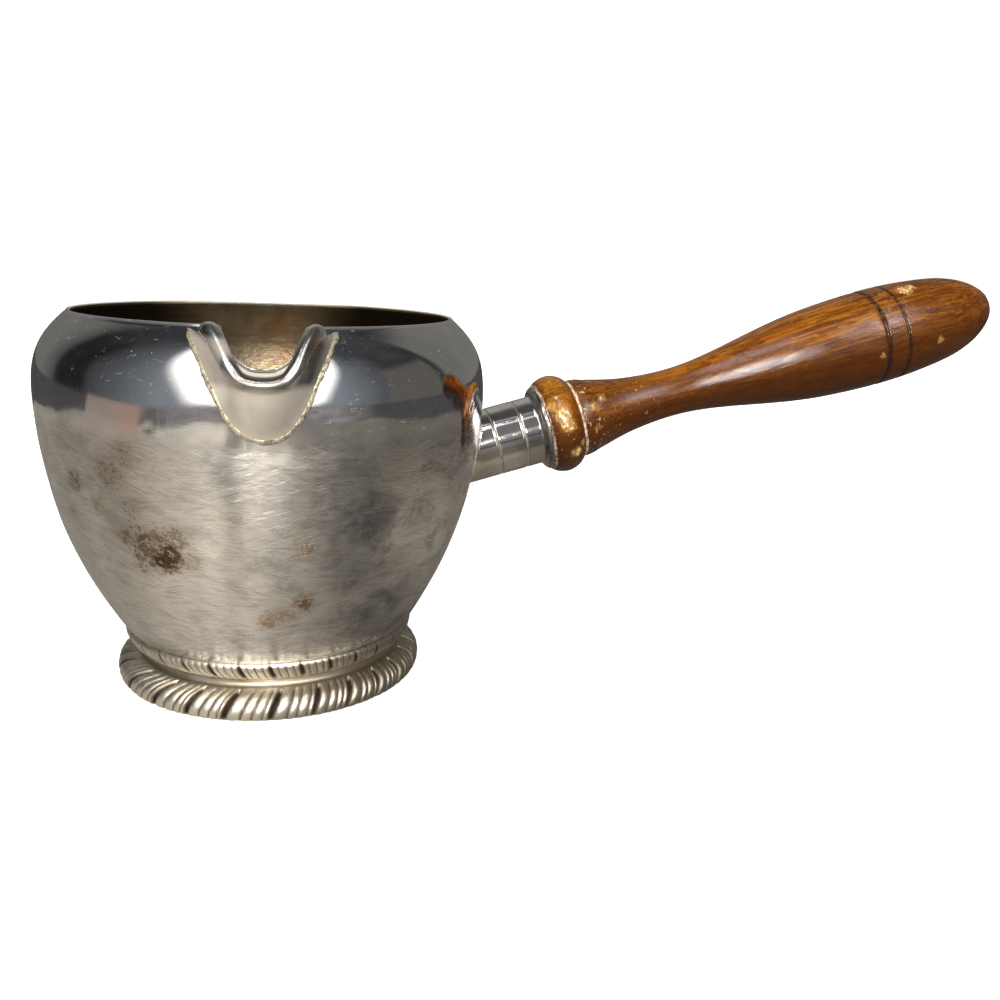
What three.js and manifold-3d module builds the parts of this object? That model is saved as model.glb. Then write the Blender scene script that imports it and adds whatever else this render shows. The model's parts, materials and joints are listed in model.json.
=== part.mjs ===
// Brandy warmer: a small spun bowl on a cast gadroon foot, with a pouring lip at a right angle to a turned wooden handle.
// Millimetres, +Z up. The handle runs along +X, the lip pours towards -Y, and the foot stands on z = 0.
import * as THREE from "three";
import { mergeVertices } from "three/addons/utils/BufferGeometryUtils.js";
import Module from "manifold-3d";

// ---------------------------------------------------------------- driving dimensions
const GAP = 0.3; // clearance between pieces that touch
const WALL = 1.0; // bowl sheet thickness
const BOWL_SEGMENTS = 56;

// Outside of the bowl, [radius, height], from the flat underside to the rim.
const BOWL_OUTSIDE = [
  [0, 2.0], [16.0, 2.0], [19.6, 2.35], [21.9, 3.2], [24.84, 5.42], [27.49, 8.21], [29.82, 11.27], [33.79, 17.86],
  [37.26, 24.73], [40.13, 31.86], [42.34, 39.23], [43.8, 46.79], [44.6, 53.2], [45.0, 60.42], [44.82, 64.41],
  [44.02, 68.32], [42.24, 71.89], [39.62, 74.9], [38.13, 76.24],
];

// Cast foot: closed section, [radius, height]. Flared gadroon roll, neck, and the leaf row that hugs the bowl.
const FOOT_SECTION = [
  [28.9, 0], [30.7, 0], [31.65, 0.55], [32.2, 1.5], [32.3, 2.5], [31.95, 3.5], [31.0, 4.35], [29.4, 4.95],
  [27.8, 5.3], [27.05, 5.95], [27.05, 6.7], [27.6, 7.25], [28.6, 7.75], [29.6, 8.9], [30.45, 10.1], [30.6, 10.9],
  [30.1, 11.12], [28.95, 9.56], [27.73, 7.98], [26.2, 6.28], [25.7, 5.5], [26.3, 4.2], [28.2, 3.4], [29.15, 2.4],
  [29.25, 1.2],
];
const SOLDER_WIDTH = 0.8;
const SOLDER_HEIGHT = 0.95; // how far solder stands off the bowl
const FOOT_SOLDER = { radius: 25.35, height: 4.72, thickness: 0.7 };

// Pouring lip, drawn with its middle towards -Y. Half width where it meets the bowl, by height.
const LIP_TURN = -1; // degrees past the right angle to the handle
const LIP_HALF_WIDTH = [
  [57.9, 0], [58.15, 1.7], [58.7, 3.1], [59.6, 4.3], [61.2, 5.6], [63.6, 7.0], [66.0, 8.1], [68.5, 9.2], [71.0, 10.3],
  [73.5, 11.4], [75.2, 12.2], [76.5, 12.8],
];
const LIP_TIP_HEIGHT = 57.9;
const LIP_RAKE = 0.36; // outward millimetres for each millimetre up
const LIP_FRONT = 44.95; // outward position of the lip's lowest point
// Half of the lip's rolled edge, [sideways, outwards, height], from the middle to the horn at the rim.
const LIP_EDGE = [
  [0, 48.05, 67.65], [2.2, 47.83, 67.86], [3.7, 47.3, 68.4], [5.3, 46.0, 70.2], [6.7, 43.7, 73.0], [7.7, 41.9, 74.7],
  [8.6, 40.3, 75.65],
];
const LIP_ROLL = 1.25; // radius of the rolled edge
const LIP_KNOB = 1.6; // radius of the knob it ends in at the rim
// Half of the pouring channel's section, [sideways, height above its bottom].
const CHANNEL = [
  [0, 0], [2.2, 0.15], [4.0, 0.95], [5.1, 2.0], [5.9, 3.3], [6.4, 4.6], [6.85, 6.0], [7.2, 8.0], [7.4, 12.0],
];
const CHANNEL_BOTTOM = 70.1; // at CHANNEL_AT outwards
const CHANNEL_AT = 43;
const CHANNEL_FALL = 0.36; // fall for each millimetre outwards

// Handle line: it leaves the bowl's axis at HANDLE_Z and rises at HANDLE_RISE.
const HANDLE_Z = 35.83;
const HANDLE_RISE = 15.36; // degrees
const SOCKET_R = 7.62;
const SOCKET_BORE = 6.6;
// The socket's end, spread into a shallow cup round the handle's bead: outer face, then inner, [along, radius].
const SOCKET_CUP = [
  [60.15, 7.62], [60.5, 7.9], [60.8, 8.5], [61.15, 9.0], [61.75, 9.4], [61.95, 9.2], [61.7, 8.6], [61.4, 8.0],
  [61.1, 7.2], [60.9, 6.6],
];
const TENON_END = 61.1; // where the handle's tenon meets its bead
const SOCKET_LINES = [50.26, 56.49]; // engraved lines
const LINE_DEPTH = 0.22;
const TENON_R = 6.3;
const TENON_START = 49.0;
const PIN = { at: 53.4, radius: 0.8, inner: 2.2, outer: 7.5 };

// Turned handle from the socket outwards, [along the handle line, radius].
const HANDLE_PROFILE = [
  [61.4, 7.1], [61.7, 7.9], [62.05, 8.6], [62.35, 9.3], [62.6, 10.0], [63.3, 10.52], [65.3, 11.02], [66.8, 10.8],
  [67.9, 10.35], [68.8, 9.65], [69.4, 8.85], [69.7, 8.4], [70.2, 8.76], [72.7, 8.45], [75.3, 7.74], [79.1, 6.76], [84.5, 5.92],
  [89.5, 5.5], [94.0, 5.46], [99.9, 5.88], [105.5, 6.72], [111.2, 7.78], [117.0, 8.9], [122.6, 9.82], [129.0, 10.62],
  [136.5, 11.14], [142.5, 11.34], [143.0, 10.95], [143.5, 11.36], [147.7, 11.34], [148.2, 10.93], [148.7, 11.31],
  [154.0, 11.0], [159.3, 10.42], [164.1, 9.55], [168.0, 8.3], [171.4, 6.6], [174.0, 4.7], [175.8, 2.7], [176.6, 0],
];

// ---------------------------------------------------------------- finishes
const silver = (name) => new THREE.MeshStandardMaterial({ name, color: 0xb9b2a4, roughness: 0.24, metalness: 1 });
const FINISH = {
  bowl: silver("worn silver plate"),
  pouring_lip: silver("silver plate lip"),
  foot_ring: new THREE.MeshStandardMaterial({ name: "cast silver plate", color: 0xa89f8a, roughness: 0.32, metalness: 1 }),
  handle_socket: silver("silver plate socket"),
  lip_solder: new THREE.MeshStandardMaterial({ name: "solder", color: 0xa79a72, roughness: 0.45, metalness: 1 }),
  socket_solder: new THREE.MeshStandardMaterial({ name: "solder", color: 0xa79a72, roughness: 0.45, metalness: 1 }),
  foot_solder: new THREE.MeshStandardMaterial({ name: "solder", color: 0xa79a72, roughness: 0.45, metalness: 1 }),
  wooden_handle: new THREE.MeshStandardMaterial({ name: "varnished wood", color: 0x7a4413, roughness: 0.3, metalness: 0 }),
  handle_pin: new THREE.MeshStandardMaterial({ name: "brass pin", color: 0xa98545, roughness: 0.4, metalness: 1 }),
};

// ---------------------------------------------------------------- solids
const wasm = await Module();
wasm.setup();

function solid(geometry) {
  const bare = new THREE.BufferGeometry();
  bare.setAttribute("position", geometry.getAttribute("position"));
  if (geometry.index) bare.setIndex(geometry.index);
  const merged = mergeVertices(bare, 1e-3);
  const make = (triVerts) =>
    new wasm.Manifold(
      new wasm.Mesh({ numProp: 3, vertProperties: new Float32Array(merged.attributes.position.array), triVerts }),
    );
  // Faces that merging squeezed to a line are dropped.
  const kept = [];
  const index = merged.index.array;
  for (let i = 0; i < index.length; i += 3) {
    const [a, b, c] = [index[i], index[i + 1], index[i + 2]];
    if (a !== b && b !== c && a !== c) kept.push(a, b, c);
  }
  const made = make(new Uint32Array(kept));
  if (made.volume() > 0) return made;
  const turned = new Uint32Array(kept);
  for (let i = 0; i < turned.length; i += 3) [turned[i + 1], turned[i + 2]] = [turned[i + 2], turned[i + 1]];
  return make(turned);
}

function geometryOf(body) {
  const mesh = body.getMesh();
  const stride = mesh.numProp;
  const position = new Float32Array((mesh.vertProperties.length / stride) * 3);
  for (let i = 0; i < position.length / 3; i++)
    for (let k = 0; k < 3; k++) position[3 * i + k] = mesh.vertProperties[stride * i + k];
  const geometry = new THREE.BufferGeometry();
  geometry.setAttribute("position", new THREE.BufferAttribute(position, 3));
  geometry.setIndex(new THREE.BufferAttribute(new Uint32Array(mesh.triVerts), 1));
  geometry.computeVertexNormals();
  return geometry;
}

// The piece of a cut body that has the most material.
function mainPiece(body) {
  return body.decompose().sort((a, b) => b.volume() - a.volume())[0];
}

// A profile of [radius, height] turned round +Z.
function turned(profile, segments, closed = false) {
  const points = profile.map(([r, z]) => new THREE.Vector2(r, z));
  if (closed) points.push(points[0].clone());
  return new THREE.LatheGeometry(points, segments).rotateX(Math.PI / 2);
}

// A profile moved along its own normals, outwards when distance is positive.
function offset(profile, distance) {
  return profile.map(([r, z], i) => {
    const a = profile[Math.max(i - 1, 0)];
    const b = profile[Math.min(i + 1, profile.length - 1)];
    const length = Math.hypot(b[0] - a[0], b[1] - a[1]);
    const normal = [(b[1] - a[1]) / length, -(b[0] - a[0]) / length];
    return [r === 0 ? 0 : r + normal[0] * distance, z + normal[1] * distance];
  });
}

function lookUp(table, x) {
  if (x <= table[0][0]) return table[0][1];
  for (let i = 1; i < table.length; i++)
    if (x <= table[i][0]) {
      const [x0, y0] = table[i - 1];
      const [x1, y1] = table[i];
      return y0 + ((y1 - y0) * (x - x0)) / (x1 - x0);
    }
  return table[table.length - 1][1];
}

// Outside radius of the bowl, or of a surface `distance` outside it, at a height.
function bowlRadius(height, distance = 0) {
  const wall = offset(BOWL_OUTSIDE, distance).slice(3).map(([r, z]) => [z, r]);
  return lookUp(wall, height);
}

function tube(points, radius, sides, steps, closed = false) {
  const path = new THREE.CatmullRomCurve3(points, closed, "centripetal");
  const section = new THREE.Shape();
  for (let i = 0; i < sides; i++) {
    const a = (2 * Math.PI * i) / sides;
    if (i === 0) section.moveTo(radius, 0);
    else section.lineTo(radius * Math.cos(a), radius * Math.sin(a));
  }
  section.closePath();
  return new THREE.ExtrudeGeometry(section, { steps, bevelEnabled: false, extrudePath: path });
}

// Everything inside the bowl's outside surface plus a distance, closed by a flat disc over the mouth.
function bowlEnvelope(distance) {
  const skin = offset(BOWL_OUTSIDE, distance);
  const [r, z] = skin[skin.length - 1];
  return solid(turned([...skin, [r - distance * 0.5, z + distance * 0.5], [0, z + distance * 0.5]], BOWL_SEGMENTS));
}

// ---------------------------------------------------------------- handle line
const rise = THREE.MathUtils.degToRad(HANDLE_RISE);
const along = new THREE.Vector3(Math.cos(rise), 0, Math.sin(rise));
const side = new THREE.Vector3(0, 1, 0);
const over = new THREE.Vector3(-Math.sin(rise), 0, Math.cos(rise));
// Local +Z runs along the handle, local +X faces down so that a vertex of each ring lies at the very top and bottom.
const handleFrame = new THREE.Matrix4()
  .makeBasis(over.clone().negate(), side, along)
  .setPosition(0, 0, HANDLE_Z);
const onHandle = (s, sideways, up) =>
  new THREE.Vector3(0, 0, HANDLE_Z).addScaledVector(along, s).addScaledVector(side, sideways).addScaledVector(over, up);

// ---------------------------------------------------------------- pouring channel and lip
const lipFrame = new THREE.Matrix4().makeRotationZ(THREE.MathUtils.degToRad(LIP_TURN));

// The channel: a U section driven outwards and downwards through the bowl's wall and the lip.
const channelShape = new THREE.Shape();
const half = CHANNEL.map(([x, h]) => [x, h]);
channelShape.moveTo(-half[half.length - 1][0], half[half.length - 1][1]);
for (let i = half.length - 2; i >= 0; i--) channelShape.lineTo(-half[i][0], half[i][1]);
for (let i = 1; i < half.length; i++) channelShape.lineTo(half[i][0], half[i][1]);
channelShape.closePath();
const CHANNEL_FROM = 30;
const CHANNEL_TO = 56;
const channelGeometry = new THREE.ExtrudeGeometry(channelShape, {
  depth: CHANNEL_TO - CHANNEL_FROM,
  steps: 1,
  bevelEnabled: false,
});
{
  // Shape x stays sideways, shape y becomes height, and depth runs outwards, towards -Y.
  const p = channelGeometry.getAttribute("position");
  for (let i = 0; i < p.count; i++) {
    const outwards = CHANNEL_FROM + p.getZ(i);
    const height = p.getY(i) + CHANNEL_BOTTOM - (outwards - CHANNEL_AT) * CHANNEL_FALL;
    p.setXYZ(i, p.getX(i), -outwards, height);
  }
}
const channel = solid(channelGeometry.applyMatrix4(lipFrame));

// The lip's body: a turned blank whose rings are pushed out into a beak.
function lipBody(extra) {
  const rows = LIP_HALF_WIDTH.map(([z, w]) => [w === 0 ? 0 : w + extra, z === LIP_TIP_HEIGHT ? z - extra : z]);
  const top = rows[rows.length - 1];
  const blank = turned([...rows, [0, top[1]]], 28);
  const p = blank.getAttribute("position");
  for (let i = 0; i < p.count; i++) {
    const z = p.getZ(i);
    const width = Math.max(lookUp(LIP_HALF_WIDTH, z) + extra, 1e-6);
    const radius = Math.hypot(p.getX(i), p.getY(i));
    const share = Math.min(radius / width, 1);
    const onBowl = bowlRadius(Math.min(z, 76.2));
    const seam = Math.sqrt(Math.max(onBowl ** 2 - width ** 2, 0));
    const front = LIP_FRONT + Math.max(z - LIP_TIP_HEIGHT, 0) * LIP_RAKE + extra - seam;
    const power = THREE.MathUtils.lerp(2, 1.06, THREE.MathUtils.smoothstep(z, 60, 74));
    const cos = radius < 1e-6 ? 0 : Math.abs(p.getX(i)) / radius;
    const sin = radius < 1e-6 ? 0 : Math.abs(p.getY(i)) / radius;
    const stretch = radius < 1e-6 ? 0 : (cos ** power + sin ** power) ** (-1 / power);
    const x = Math.sign(p.getX(i)) * cos * stretch * width * share;
    const outwards = p.getY(i) < 0 ? seam + sin * stretch * front * share : seam - sin * stretch * 1.5 * share;
    p.setXYZ(i, x, -outwards, z);
  }
  return solid(blank.applyMatrix4(lipFrame));
}

const edgePoints = [
  ...LIP_EDGE.slice(1).reverse().map(([x, y, z]) => new THREE.Vector3(-x, -y, z)),
  ...LIP_EDGE.map(([x, y, z]) => new THREE.Vector3(x, -y, z)),
].map((v) => v.applyMatrix4(lipFrame));
const roll = solid(tube(edgePoints, LIP_ROLL, 8, 22));
const horns = [edgePoints[0], edgePoints[edgePoints.length - 1]].map((v) =>
  solid(new THREE.SphereGeometry(LIP_KNOB, 16, 12).translate(v.x, v.y, v.z)),
);
const bowlClear = bowlEnvelope(GAP);
const pouringLip = mainPiece(
  lipBody(0).subtract(channel).add(roll).add(horns[0]).add(horns[1]).subtract(bowlClear),
);

// A thin skin round the bowl's outside: what solder fills beside a piece that is joined to it.
const solderSkin = bowlEnvelope(SOLDER_HEIGHT).subtract(bowlClear);

// Solder run round the lip, where its edge meets the bowl.
const lipSolder = mainPiece(
  lipBody(SOLDER_WIDTH + 0.2).subtract(lipBody(0.2)).intersect(solderSkin).subtract(channel),
);

// ---------------------------------------------------------------- bowl
const inside = offset(BOWL_OUTSIDE, -WALL).slice(1).reverse();
const rim = BOWL_OUTSIDE[BOWL_OUTSIDE.length - 1];
inside[0] = [rim[0] - WALL * 0.72, rim[1] + 0.02];
const bowl = solid(turned([...BOWL_OUTSIDE, ...inside, [0, BOWL_OUTSIDE[0][1] + WALL]], BOWL_SEGMENTS)).subtract(channel);

// ---------------------------------------------------------------- foot
const foot = solid(turned(FOOT_SECTION, BOWL_SEGMENTS, true)).subtract(bowlEnvelope(GAP * 0.8));
const footSolderSection = [];
for (let i = 0; i < 5; i++) {
  const a = (Math.PI / 2.5) * i;
  footSolderSection.push([
    FOOT_SOLDER.radius + (FOOT_SOLDER.thickness / 2) * Math.cos(a),
    FOOT_SOLDER.height + (FOOT_SOLDER.thickness / 2) * Math.sin(a),
  ]);
}
const footSolder = solid(turned(footSolderSection, 36, true));

// ---------------------------------------------------------------- socket
const socketSkin = [[SOCKET_R, 36]];
for (const at of SOCKET_LINES)
  socketSkin.push([SOCKET_R, at - 0.3], [SOCKET_R - LINE_DEPTH, at], [SOCKET_R, at + 0.3]);
const socketSection = [[SOCKET_BORE, 36], ...socketSkin, ...SOCKET_CUP.map(([s, r]) => [r, s])];
const pinHole = solid(
  new THREE.CylinderGeometry(PIN.radius + GAP, PIN.radius + GAP, 8, 16)
    .rotateZ(Math.PI / 2)
    .translate(PIN.inner + 4 - GAP, 0, PIN.at)
    .applyMatrix4(handleFrame),
);
const socket = mainPiece(
  solid(turned(socketSection, 40, true).applyMatrix4(handleFrame)).subtract(bowlClear).subtract(pinHole),
);

// Solder round the socket's mouth, along the curve where it meets the bowl.
const seamBand = solid(
  turned(
    [[SOCKET_R + 0.22, 40], [SOCKET_R + 0.22 + SOLDER_WIDTH, 40], [SOCKET_R + 0.22 + SOLDER_WIDTH, 56], [SOCKET_R + 0.22, 56]],
    36,
    true,
  ).applyMatrix4(handleFrame),
);
const socketSolder = mainPiece(seamBand.intersect(solderSkin));

// ---------------------------------------------------------------- wooden handle and its pin
const handleSection = [
  [0, TENON_START], [TENON_R - 0.4, TENON_START], [TENON_R, TENON_START + 0.5], [TENON_R, TENON_END],
  ...HANDLE_PROFILE.map(([s, r]) => [r, s]),
];
const handle = solid(turned(handleSection, 36).applyMatrix4(handleFrame)).subtract(pinHole);
const pin = solid(
  new THREE.CylinderGeometry(PIN.radius, PIN.radius, PIN.outer - PIN.inner, 14)
    .rotateZ(Math.PI / 2)
    .translate((PIN.outer + PIN.inner) / 2, 0, PIN.at)
    .applyMatrix4(handleFrame),
);

// ---------------------------------------------------------------- assembly
const brandyWarmer = new THREE.Group();
const pieces = {
  bowl,
  pouring_lip: pouringLip,
  lip_solder: lipSolder,
  foot_ring: foot,
  foot_solder: footSolder,
  handle_socket: socket,
  socket_solder: socketSolder,
  wooden_handle: handle,
  handle_pin: pin,
};
for (const [name, body] of Object.entries(pieces)) {
  const mesh = new THREE.Mesh(geometryOf(body), FINISH[name]);
  mesh.name = name;
  brandyWarmer.add(mesh);
}

// The frame's origin is the middle of the object's footprint box, on the surface it stands on.
const extent = new THREE.Box3().setFromObject(brandyWarmer);
const middle = extent.getCenter(new THREE.Vector3());
const assembly = new THREE.Group();
brandyWarmer.position.set(-middle.x, -middle.y, -extent.min.z);
assembly.add(brandyWarmer);

export default assembly;
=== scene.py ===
import bpy, json, math
import numpy as np
from mathutils import Matrix, kdtree

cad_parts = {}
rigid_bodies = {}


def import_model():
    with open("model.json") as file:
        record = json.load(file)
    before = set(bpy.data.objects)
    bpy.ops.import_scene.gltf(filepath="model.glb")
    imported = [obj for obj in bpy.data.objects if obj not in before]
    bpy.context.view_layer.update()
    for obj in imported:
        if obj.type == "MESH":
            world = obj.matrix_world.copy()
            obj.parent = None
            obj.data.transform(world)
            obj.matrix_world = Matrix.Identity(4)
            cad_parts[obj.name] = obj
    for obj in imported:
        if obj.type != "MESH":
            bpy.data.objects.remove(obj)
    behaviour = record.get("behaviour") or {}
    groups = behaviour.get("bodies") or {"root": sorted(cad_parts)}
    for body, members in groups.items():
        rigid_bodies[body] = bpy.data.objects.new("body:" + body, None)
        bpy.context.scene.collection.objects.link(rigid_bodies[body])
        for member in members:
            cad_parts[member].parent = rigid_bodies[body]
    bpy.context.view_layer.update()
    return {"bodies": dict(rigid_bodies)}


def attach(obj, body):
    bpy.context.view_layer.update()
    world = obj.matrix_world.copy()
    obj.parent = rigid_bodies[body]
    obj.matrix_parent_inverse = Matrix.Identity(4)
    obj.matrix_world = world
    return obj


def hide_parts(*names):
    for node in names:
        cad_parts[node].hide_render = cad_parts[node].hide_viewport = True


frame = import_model()

# ---------------------------------------------------------------- sizes, in millimetres about the bowl's axis
AXIS = np.array([-62.646, 2.146, 0.0])  # where the bowl's axis stands in the row frame
RNG = np.random.default_rng(11)

BOWL_OUTSIDE = [
    (24.84, 5.42), (27.49, 8.21), (29.82, 11.27), (31.89, 14.52), (33.79, 17.86), (35.59, 21.26), (37.26, 24.73),
    (38.77, 28.27), (40.13, 31.86), (41.33, 35.52), (42.34, 39.23), (43.15, 42.99), (43.80, 46.79), (44.33, 50.60),
    (44.72, 54.43), (44.86, 56.42), (44.96, 58.42), (45.00, 60.42), (44.96, 62.42), (44.82, 64.41), (44.52, 66.39),
    (44.02, 68.32), (43.26, 70.17), (42.24, 71.89), (41.00, 73.46), (39.62, 74.90), (38.13, 76.24),
]
BOWL_UNDER = [(0.0, 2.0), (8.0, 2.0), (16.0, 2.05), (19.6, 2.4), (21.9, 3.2)]
WALL = 0.85
RIM_INNER = 37.42

LIP_TURN = math.radians(-1.0)
# Half of the lip, from its middle to the horn that dies into the rim: rolled edge, inner edge and outer seam.
LIP_ROLL = [
    (0, 47.95, 67.65, 1.18), (2.2, 47.75, 67.86, 1.20), (3.7, 47.25, 68.4, 1.25), (5.3, 46.0, 70.2, 1.38),
    (6.7, 43.7, 73.0, 1.42), (7.7, 41.9, 74.7, 1.52), (8.6, 40.3, 75.65, 1.60), (9.3, 39.2, 75.6, 1.30),
    (9.8, 38.3, 74.9, 0.70),
]
LIP_INNER = [
    (0, 70.2), (2.0, 70.35), (3.6, 71.1), (5.0, 72.4), (5.9, 74.0), (6.5, 75.4), (7.1, 76.2), (8.2, 76.4), (9.8, 75.9),
]
LIP_SEAM = [
    (0, 57.9), (3.1, 58.7), (5.0, 60.4), (6.9, 63.4), (8.5, 67.0), (10.0, 70.3), (11.3, 73.2), (12.2, 75.2),
    (12.7, 76.05),
]

HANDLE_Z = 35.83
RISE = math.radians(15.36)
ALONG = np.array([math.cos(RISE), 0.0, math.sin(RISE)])
SIDE = np.array([0.0, 1.0, 0.0])
OVER = np.array([-math.sin(RISE), 0.0, math.cos(RISE)])
SOCKET_R = 7.62
SOCKET_END = 60.3
CUP = [(60.15, 7.62), (60.36, 7.72), (60.54, 7.98), (60.74, 8.42), (61.0, 8.84), (61.35, 9.19), (61.75, 9.42)]
SOCKET_LINES = (50.26, 56.49)
PIN_AT = 53.4

HANDLE_PROFILE = [
    (61.35, 6.9), (61.55, 7.7), (61.75, 8.5), (61.93, 9.15), (62.2, 9.7), (62.7, 10.15), (63.3, 10.48), (64.2, 10.82), (65.1, 11.0), (66.1, 10.98),
    (67.0, 10.78), (67.9, 10.38), (68.6, 9.9), (69.25, 9.2), (69.5, 8.66), (69.7, 8.42), (69.9, 8.58), (70.25, 8.78),
    (71.3, 8.72), (72.5, 8.50), (73.6, 8.14), (75.3, 7.74), (77.1, 7.28), (81.0, 6.43), (84.78, 5.90), (88.56, 5.56),
    (92.34, 5.43), (96.11, 5.53), (99.89, 5.88), (103.67, 6.41), (107.44, 7.06), (111.22, 7.78), (115.0, 8.51),
    (118.78, 9.20), (122.55, 9.82), (126.33, 10.34), (130.11, 10.72), (133.89, 10.99), (137.66, 11.19), (141.44, 11.33),
    (145.22, 11.37), (148.99, 11.30), (152.77, 11.08), (156.55, 10.73), (160.33, 10.28), (164.1, 9.60), (167.88, 8.42),
    (170.4, 7.25), (172.6, 5.85), (174.4, 4.3), (175.6, 2.6), (176.15, 1.2), (176.3, 0.0),
]
BURNT_LINES = ((143.0, 0.36), (148.2, 0.30))


# ---------------------------------------------------------------- curve and mesh helpers
def curve(points, samples=16):
    """A smooth curve through the points."""
    p = np.asarray(points, float)
    q = np.vstack([2 * p[0] - p[1], p, 2 * p[-1] - p[-2]])
    out = []
    for i in range(1, len(q) - 2):
        p0, p1, p2, p3 = q[i - 1:i + 3]
        t0 = 0.0
        t1 = t0 + max(np.linalg.norm(p1 - p0), 1e-6) ** 0.5
        t2 = t1 + max(np.linalg.norm(p2 - p1), 1e-6) ** 0.5
        t3 = t2 + max(np.linalg.norm(p3 - p2), 1e-6) ** 0.5
        t = np.linspace(t1, t2, samples, endpoint=False)[:, None]
        a1 = (t1 - t) / (t1 - t0) * p0 + (t - t0) / (t1 - t0) * p1
        a2 = (t2 - t) / (t2 - t1) * p1 + (t - t1) / (t2 - t1) * p2
        a3 = (t3 - t) / (t3 - t2) * p2 + (t - t2) / (t3 - t2) * p3
        b1 = (t2 - t) / (t2 - t0) * a1 + (t - t0) / (t2 - t0) * a2
        b2 = (t3 - t) / (t3 - t1) * a2 + (t - t1) / (t3 - t1) * a3
        out.append((t2 - t) / (t2 - t1) * b1 + (t - t1) / (t2 - t1) * b2)
    out.append(p[-1:])
    return np.vstack(out)


def respaced(line, step=None, count=None):
    """The same curve with even steps along it."""
    d = np.r_[0, np.cumsum(np.linalg.norm(np.diff(line, axis=0), axis=1))]
    n = count or max(2, int(round(d[-1] / step)) + 1)
    t = np.linspace(0, d[-1], n)
    return np.stack([np.interp(t, d, line[:, k]) for k in range(line.shape[1])], 1)


def smooth(lo, hi, x):
    t = np.clip((np.asarray(x, float) - lo) / (hi - lo), 0, 1)
    return t * t * (3 - 2 * t)


def piece(name, vertices, faces, materials, face_material=None, sharp=None, attributes=None):
    """A mesh piece from millimetre points about the bowl's axis, riding on the part's one body."""
    co = (np.asarray(vertices, float) + AXIS) * 0.001
    mesh = bpy.data.meshes.new(name)
    faces = [tuple(int(i) for i in f) for f in faces]
    mesh.from_pydata(co.tolist(), [], faces)
    for key, values in (attributes or {}).items():
        a = mesh.attributes.new(key, "FLOAT", "POINT")
        a.data.foreach_set("value", np.asarray(values, np.float32))
    for m in materials:
        mesh.materials.append(m)
    if face_material is not None:
        mesh.polygons.foreach_set("material_index", np.asarray(face_material, np.int32))
    mesh.polygons.foreach_set("use_smooth", np.ones(len(mesh.polygons), bool))
    mesh.update()
    o = bpy.data.objects.new(name, mesh)
    bpy.context.scene.collection.objects.link(o)
    if sharp is not None:
        import bmesh
        b = bmesh.new()
        b.from_mesh(mesh)
        for e in b.edges:
            if len(e.link_faces) == 2 and e.calc_face_angle(0) > math.radians(sharp):
                e.smooth = False
        b.to_mesh(mesh)
        b.free()
    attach(o, "root" if "root" in frame["bodies"] else sorted(frame["bodies"])[0])
    return o


def grid_faces(rows, cols, start=0, wrap_cols=True, wrap_rows=False, flip=False):
    """Quads of a rows x cols grid of points, row by row."""
    r = np.arange(rows if wrap_rows else rows - 1)
    c = np.arange(cols if wrap_cols else cols - 1)
    R, C = np.meshgrid(r, c, indexing="ij")
    R2, C2 = (R + 1) % rows, (C + 1) % cols
    f = np.stack([R * cols + C, R * cols + C2, R2 * cols + C2, R2 * cols + C], -1).reshape(-1, 4) + start
    return f[:, ::-1] if flip else f


def soft_noise(x, seed, waves=5, base=1.0):
    """A few sines with random phases: a gentle irregularity without any grid."""
    g = np.random.default_rng(seed)
    out = np.zeros_like(np.asarray(x, float))
    for k in range(1, waves + 1):
        out += np.sin(x * base * k + g.uniform(0, 6.283)) * g.uniform(0.4, 1.0) / k
    return out / 1.6


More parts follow.
